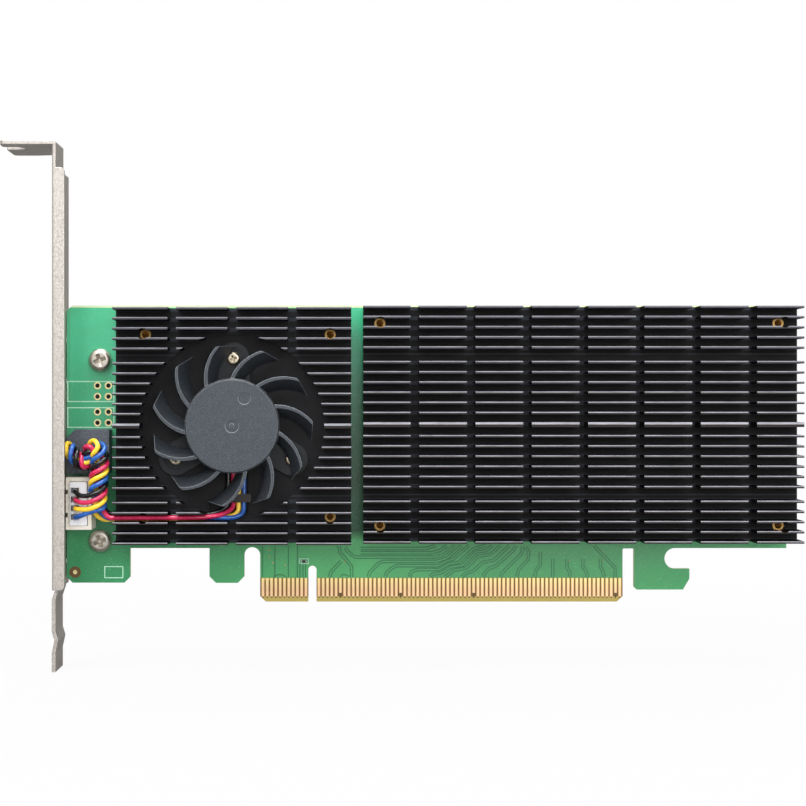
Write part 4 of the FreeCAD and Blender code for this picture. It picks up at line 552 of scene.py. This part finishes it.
def twisted_strands(line, radii):
    """Control points of each strand, wound right-handed round the line.

    The strands leave the bundle one after another, each a quarter turn later and on the same side.
    """
    tangents, sides = carried_frames(line)
    lengths = [0.0]
    for before, after in zip(line, line[1:]):
        lengths.append(lengths[-1] + (after - before).length)
    pitch = TWIST_PITCH * MM
    last = len(line) - 1
    leaving = LEAVING_SIDE - tangents[last] * LEAVING_SIDE.dot(tangents[last])
    cross = tangents[last].cross(sides[last])
    end_angle = math.atan2(leaving.dot(cross), leaving.dot(sides[last]))
    strands = {}
    for number, colour in enumerate(COLOURS):
        end = lengths[-1] - (len(COLOURS) - 1 - number) * pitch / 4
        points = []
        due = 0.0
        for index, travelled in enumerate(lengths):
            if travelled < due or travelled > end:
                continue
            due += pitch / HELIX_STEPS
            turn = end_angle + 2 * math.pi * (travelled - end) / pitch
            share = index / last * (len(radii) - 1)
            whole = min(int(share), len(radii) - 2)
            radius = radii[whole] + (radii[whole + 1] - radii[whole]) * (share - whole)
            points.append(line[index] + Quaternion(tangents[index], turn) @ sides[index] * radius * MM)
        strands[colour] = points
    return strands


def add_tube(form, line, radius, slot, sides=12):
    """A round tube along the line, closed at both ends."""
    tangents, spokes = carried_frames(line)
    rings = []
    for point, tangent, spoke in zip(line, tangents, spokes):
        rings.append([form.verts.new(point + Quaternion(tangent, 2 * math.pi * k / sides) @ spoke * radius)
                      for k in range(sides)])
    for ring, following in zip(rings, rings[1:]):
        for k in range(sides):
            face = form.faces.new((ring[k], ring[(k + 1) % sides], following[(k + 1) % sides], following[k]))
            face.material_index = slot
            face.smooth = True
    for ring in (list(reversed(rings[0])), rings[-1]):
        form.faces.new(ring).material_index = slot


def make_fan_lead():
    """Four insulated wires: flat under the clip, stacked between fins, twisted, then fanned to the plug."""
    middle = smooth_line([row(point) for point in ROPE], 24)
    strands = twisted_strands(middle, [point[3] for point in ROPE])
    terminals_low, terminals_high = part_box("plug_terminals")
    plug_top = (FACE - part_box("fan_plug")[0].y) / MM
    pin_x = (terminals_low.x + terminals_high.x) / 2 / MM
    sleeve = (terminals_high.x - terminals_low.x) / MM
    pitch = (terminals_high.z - terminals_low.z) / MM / 3 - sleeve / 3
    form = bmesh.new()
    for slot, colour in enumerate(COLOURS):
        pin_rise = terminals_high.z / MM - sleeve / 2 - slot * pitch
        entry = [(pin_x + shift, pin_rise, plug_top + above) for shift, above in WIRE_ENTRY]
        points = [row(point) for point in WIRE_ROUTES[colour]] + strands[colour]
        points += [row(point) for point in TAIL_ROUTES[colour] + entry]
        add_tube(form, smooth_line(points, 5), WIRE_DIAMETER / 2 * MM, slot)
    insulation = [FINISHES["wire_" + colour] for colour in COLOURS]
    piece = new_piece("fan_lead_wires", form, insulation)
    path = smooth_line([row(point) for point in BUNDLE_START + ROPE + BUNDLE_END])
    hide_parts("fan_lead",
                *[kind + colour for kind in ("fan_wire_", "plug_tail_") for colour in COLOURS])


# ---------------------------------------------------------------- printed and plated details
SHARPEST_MITRE = 0.4                    # cosine of half a turn past which a corner stops growing


def strip(form, points, width, lift, slot=0, closed=False):
    """A thin strip with mitred corners along (x, rise) points on the component face, in millimetres."""
    count = len(points)
    rails = []
    for index, point in enumerate(points):
        here = Vector(point)
        ways = []
        if index > 0 or closed:
            ways.append((here - Vector(points[index - 1])).normalized())
        if index < count - 1 or closed:
            ways.append((Vector(points[(index + 1) % count]) - here).normalized())
        way = sum(ways, Vector((0, 0))).normalized()
        out = Vector((-way.y, way.x)) * width / 2 / max(abs(way.dot(ways[0])), SHARPEST_MITRE)
        rails.append([form.verts.new(row((*(here + out * side), height)))
                      for side in (1, -1) for height in (lift, 0)])
    pairs = list(zip(rails, rails[1:] + rails[:1]))
    for one, two in pairs if closed else pairs[:-1]:
        for a, b in ((0, 2), (1, 0), (2, 3)):
            form.faces.new((one[a], one[b], two[b], two[a])).material_index = slot
    if not closed:
        for ends in (rails[0], rails[-1]):
            form.faces.new((ends[0], ends[2], ends[3], ends[1])).material_index = slot


def circle(place, radius, sides):
    """Points spaced evenly on a circle round a place on the board."""
    angles = [2 * math.pi * number / sides for number in range(sides)]
    return [(place[0] + radius * math.cos(angle), place[1] + radius * math.sin(angle)) for angle in angles]


def ring(form, place, inner, outer, lift, slot=0, sides=28):
    """A flat ring of that inner and outer radius on the component face."""
    strip(form, circle(place, (inner + outer) / 2, sides), outer - inner, lift, slot, closed=True)


def frame_line(form, left, right, low, high, width, lift, slot=0):
    """The printed outline of a rectangle."""
    strip(form, [(left, low), (right, low), (right, high), (left, high)], width, lift, slot, closed=True)


# Pairs of traces above the contacts, as (x, rise) middles of each pair, in millimetres.
TRACE_PAIRS = [
    [(4.0, 5.8), (4.3, 6.9), (6.6, 9.4)],
    [(9.1, 5.8), (9.1, 8.2), (7.9, 9.7), (6.4, 11.5), (6.2, 13.0)],
    [(11.2, 12.4), (26.6, 12.4), (28.6, 13.1)],
    [(11.2, 11.4), (27.8, 11.4), (29.8, 12.0), (31.4, 13.1)],
    [(7.6, 12.6), (8.3, 11.6), (9.9, 10.4), (28.4, 10.4), (30.6, 11.0), (33.1, 13.1)],
    [(13.0, 5.8), (13.3, 6.8), (15.3, 8.9), (16.5, 9.4), (28.8, 9.4), (31.4, 10.2), (34.7, 13.1)],
    [(16.9, 5.8), (17.3, 6.8), (18.4, 7.8), (19.6, 8.4), (29.2, 8.4), (31.4, 9.6), (32.7, 9.9), (36.4, 13.1)],
    [(22.6, 5.8), (23.0, 7.0), (24.4, 7.5), (29.4, 7.5), (31.6, 8.8), (34.0, 9.2), (37.6, 12.4),
     (40.2, 13.1)],
    [(27.3, 5.8), (27.9, 6.4), (30.1, 6.8), (32.2, 8.1), (34.9, 8.5), (38.1, 11.6), (40.4, 11.9),
     (41.9, 13.1)],
    [(30.9, 5.8), (32.9, 7.3), (35.8, 7.9), (38.6, 10.6), (41.3, 11.0), (43.8, 13.1)],
    [(34.8, 5.8), (35.7, 6.6), (37.4, 7.2), (39.7, 9.2), (42.2, 9.7), (45.8, 13.1)],
    [(39.7, 5.8), (40.0, 6.6), (41.1, 7.8), (42.5, 8.2), (46.8, 12.0), (47.3, 13.1)],
    [(43.8, 5.8), (44.1, 6.7), (48.6, 11.2), (48.9, 12.9)],
    [(47.6, 5.8), (47.9, 7.4), (50.2, 9.9), (50.3, 11.7), (49.5, 12.7)],
    [(51.7, 5.8), (52.0, 7.3), (53.0, 8.6), (53.0, 11.5)],
    [(55.9, 5.8), (55.9, 10.0)],
    [(60.0, 5.8), (59.8, 7.0), (59.2, 8.0), (59.2, 10.0)],
    [(64.0, 5.8), (63.7, 7.0), (62.9, 8.2), (62.9, 10.0)],
    [(67.9, 5.8), (67.6, 7.0), (67.0, 8.2), (67.0, 10.0)],
    [(70.4, 5.6), (70.4, 7.9), (65.9, 12.6), (65.5, 13.2)]]
PAIR_GAP = 0.58
TRACE_WIDTH = 0.26
COPPER_LIFT = 0.035
INK_LIFT = 0.02
# Single traces: straight ones on the short tab, then the hooks beside the contacts.
SINGLE_TRACES = [
    [(-11.6, 5.7), (-11.6, 13.0)], [(-8.75, 5.7), (-8.75, 13.0)], [(-5.6, 5.7), (-5.6, 13.0)],
    [(-3.5, 5.7), (-3.5, 13.0)], [(-2.9, 5.7), (-2.9, 8.9)], [(-2.2, 5.7), (-2.2, 8.8)],
    [(-1.6, 5.7), (-1.6, 8.8)],
    [(-8.9, 5.8), (-8.2, 6.3), (-7.0, 6.3), (-6.1, 5.8)], [(6.4, 5.8), (7.0, 6.3), (7.9, 6.3), (8.4, 5.9)]]
TENTED_VIAS = [(-10.0, 12.0), (-10.0, 10.5), (-9.2, 9.1), (-6.3, 8.6), (7.5, 9.3), (59.6, 9.6), (67.4, 9.6)]
SPARE_HOLES = [(x, rise) for rise in (50.3, 47.76, 44.2, 41.66) for x in (-50.0, -47.46)]
SPARE_HOLE_RADIUS = 0.525
SPARE_LAND_RADIUS = 0.86
FILLING_DEPTH = 0.15                    # how far the resin stays below either face
# Blank printed outlines, as left, right, low, high and line width.
OUTLINES = [(-56.9, -46.2, 46.6, 51.25, 0.24), (-56.9, -46.2, 40.6, 45.15, 0.24),
            (-48.3, -44.1, 5.6, 8.2, 0.2), (-3.0, -0.95, 8.85, 10.0, 0.16)]
SIGHTING_MARK = (-55.2, 6.9)
# The chip capacitor's ends and body, as left, right, height and finish, between one low and high edge.
CAPACITOR_BLOCKS = [(-2.65, -2.35, 0.36, 1), (-2.4, -1.6, 0.34, 0), (-1.65, -1.35, 0.36, 1)]
CAPACITOR_LOW = 9.17
CAPACITOR_HIGH = 9.67


def shifted(points, offset):
    """A line beside another, that far to its left."""
    moved = []
    for index, point in enumerate(points):
        before = Vector(points[max(index - 1, 0)])
        after = Vector(points[min(index + 1, len(points) - 1)])
        way = (after - before).normalized()
        moved.append((point[0] - way.y * offset, point[1] + way.x * offset))
    return moved


def make_traces():
    """Masked copper traces, standing a little proud of the board."""
    form = bmesh.new()
    for pair in TRACE_PAIRS:
        for side in (0.5, -0.5):
            strip(form, shifted(pair, side * PAIR_GAP), TRACE_WIDTH, COPPER_LIFT)
    for line in SINGLE_TRACES:
        strip(form, line, TRACE_WIDTH, COPPER_LIFT)
    new_piece("board_traces", form, [FINISHES["trace"]])


def make_board_marks():
    """Blank printed outlines, a sighting mark, tented vias and the lands round the plated holes."""
    form = bmesh.new()
    for left, right, low, high, width in OUTLINES:
        frame_line(form, left, right, low, high, width, INK_LIFT)
    for place in SPARE_HOLES:
        ring(form, place, SPARE_HOLE_RADIUS, SPARE_LAND_RADIUS, COPPER_LIFT, 1)
    for place in TENTED_VIAS:
        ring(form, place, 0.02, 0.22, INK_LIFT, 2, 12)
    ring(form, SIGHTING_MARK, 0.5, 1.35, INK_LIFT, 3)
    ring(form, SIGHTING_MARK, 0.02, 0.5, 0.03, 1)
    finishes = [FINISHES[name] for name in ("silk", "pad_gold", "tan_dot", "bare_resin")]
    new_piece("board_marks", form, finishes)


def make_hole_filling():
    """Dark resin that closes the unused plated holes below their gold lands."""
    form = bmesh.new()
    depth = (board_high.y - board_low.y) / MM
    sides = 24
    for place in SPARE_HOLES:
        front, back = [[form.verts.new(row((x, rise, height)))
                        for x, rise in circle(place, SPARE_HOLE_RADIUS, sides)]
                       for height in (-FILLING_DEPTH, -depth + FILLING_DEPTH)]
        form.faces.new(front)
        form.faces.new(list(reversed(back)))
        for k in range(sides):
            form.faces.new((front[k], back[k], back[(k + 1) % sides], front[(k + 1) % sides]))
    new_piece("hole_filling", form, [FINISHES["filler"]])


def make_small_capacitor():
    """A chip capacitor with tinned ends, in the small printed outline above the short tab."""
    form = bmesh.new()
    for left, right, height, slot in CAPACITOR_BLOCKS:
        made = bmesh.ops.create_cube(form, size=1.0)["verts"]
        low = row((left, CAPACITOR_LOW, 0.0))
        high = row((right, CAPACITOR_HIGH, height))
        for vert in made:
            vert.co = Vector([low[k] + (vert.co[k] + 0.5) * (high[k] - low[k]) for k in range(3)])
        for face in {face for vert in made for face in vert.link_faces}:
            face.material_index = slot
    bmesh.ops.bevel(form, geom=form.edges[:], offset=0.04 * MM, segments=2, affect="EDGES")
    new_piece("small_capacitor", form, [FINISHES["epoxy"], FINISHES["tin"]])


# ---------------------------------------------------------------- studio
def make_camera():
    """A long lens straight on to the board, a little above its middle."""
    camera = bpy.data.cameras.new("camera")
    camera.sensor_width = 36
    camera.lens = 76.8
    camera.shift_x = 0.072
    camera.shift_y = -0.004
    holder = bpy.data.objects.new("camera", camera)
    holder.location = (7.57 * MM, FACE - 400 * MM, 47.0 * MM)
    holder.rotation_euler = (math.radians(90), 0, 0)
    bpy.context.scene.collection.objects.link(holder)
    bpy.context.scene.camera = holder


def add_light(name, place, width, power, tint="#FFFFFF"):
    """A square softbox aimed at the middle of the card."""
    light = bpy.data.lights.new(name, "AREA")
    light.shape = "SQUARE"
    light.size = width
    light.energy = power
    light.color = linear(tint)[:3]
    holder = bpy.data.objects.new(name, light)
    holder.location = place
    target = Vector((0.02, 0, 0.04))
    holder.rotation_euler = (target - Vector(place)).to_track_quat("-Z", "Y").to_euler()
    bpy.context.scene.collection.objects.link(holder)


def seen_directly(tree, rays):
    """One for rays that come straight from the camera, also through glass."""
    return add(tree, "Math", {0: rays.outputs["Is Camera Ray"], 1: rays.outputs["Is Transmission Ray"]},
               operation="MAXIMUM")


def make_floor():
    """A plain floor that the camera sees as white, with the card's shadow left faintly on it."""
    floor = bpy.data.meshes.new("floor")
    half = 3.0
    level = cad_low.z - 0.1 * MM
    corners = [(-half, -half, level), (half, -half, level), (half, half, level), (-half, half, level)]
    floor.from_pydata(corners, [], [(0, 1, 2, 3)])
    holder = bpy.data.objects.new("floor", floor)
    bpy.context.scene.collection.objects.link(holder)
    material, tree, shader, place = start("pale_floor")
    rays = add(tree, "LightPath")
    away = add(tree, "VectorMath", {0: place}, operation="LENGTH").outputs["Value"]
    white_share = add(tree, "MapRange", {"Value": away, "From Min": 0.12, "From Max": 0.3,
                                         "To Min": 0.94, "To Max": 1.0})
    seen = add(tree, "Math", {0: seen_directly(tree, rays), 1: white_share}, operation="MULTIPLY")
    mirrored = add(tree, "Math", {0: rays.outputs["Is Glossy Ray"], 1: 0.8}, operation="MULTIPLY")
    share = add(tree, "Math", {0: seen, 1: mirrored}, operation="MAXIMUM")
    strength = add(tree, "MapRange", {"Value": rays.outputs["Is Glossy Ray"], "To Min": 1.0, "To Max": 0.1})
    white = add(tree, "Emission", {"Color": "#FFFFFF", "Strength": strength})
    mixed = add(tree, "MixShader", {0: share, 1: shader.outputs[0], 2: white.outputs[0]})
    shader.inputs["Base Color"].default_value = linear("#A8A8A8")
    shader.inputs["Roughness"].default_value = 0.9
    tree.links.new(mixed.outputs[0], tree.nodes["Material Output"].inputs["Surface"])
    floor.materials.append(material)


def make_studio():
    """Soft light from the front and above, dimmer from behind and the side; the camera sees white."""
    world = bpy.data.worlds.new("studio")
    bpy.context.scene.world = world
    world.use_nodes = True
    tree = world.node_tree
    rays = add(tree, "LightPath")
    direction = add(tree, "SeparateXYZ", {"Vector": add(tree, "TexCoord").outputs["Generated"]})
    front = add(tree, "MapRange", {"Value": direction.outputs["Y"], "From Min": 0.3, "From Max": -0.7,
                                   "To Min": 0.2, "To Max": 0.85})
    top = add(tree, "MapRange", {"Value": direction.outputs["Z"], "From Min": 0.1, "From Max": 0.9,
                                 "To Max": 0.3})
    tent = add(tree, "Math", {0: front, 1: top}, operation="ADD")
    strength = add(tree, "MapRange", {"Value": seen_directly(tree, rays), "To Min": tent, "To Max": 1.0})
    tree.links.new(strength.outputs[0], tree.nodes["Background"].inputs["Strength"])
    tree.nodes["Background"].inputs["Color"].default_value = linear("#FFFFFF")

    add_light("key_softbox", (-0.35, -0.7, 0.75), 0.5, 7.0)
    add_light("fill_softbox", (0.3, -0.8, 0.12), 0.6, 4.0)
    add_light("top_softbox", (0.0, -0.15, 0.8), 0.4, 6.0)
    add_light("back_softbox", (0.3, 0.7, 0.9), 0.5, 4.0)
    bpy.context.scene.view_settings.view_transform = "Standard"


make_camera()
make_fan_lead()
make_traces()
make_board_marks()
make_hole_filling()
make_small_capacitor()
make_floor()
make_studio()
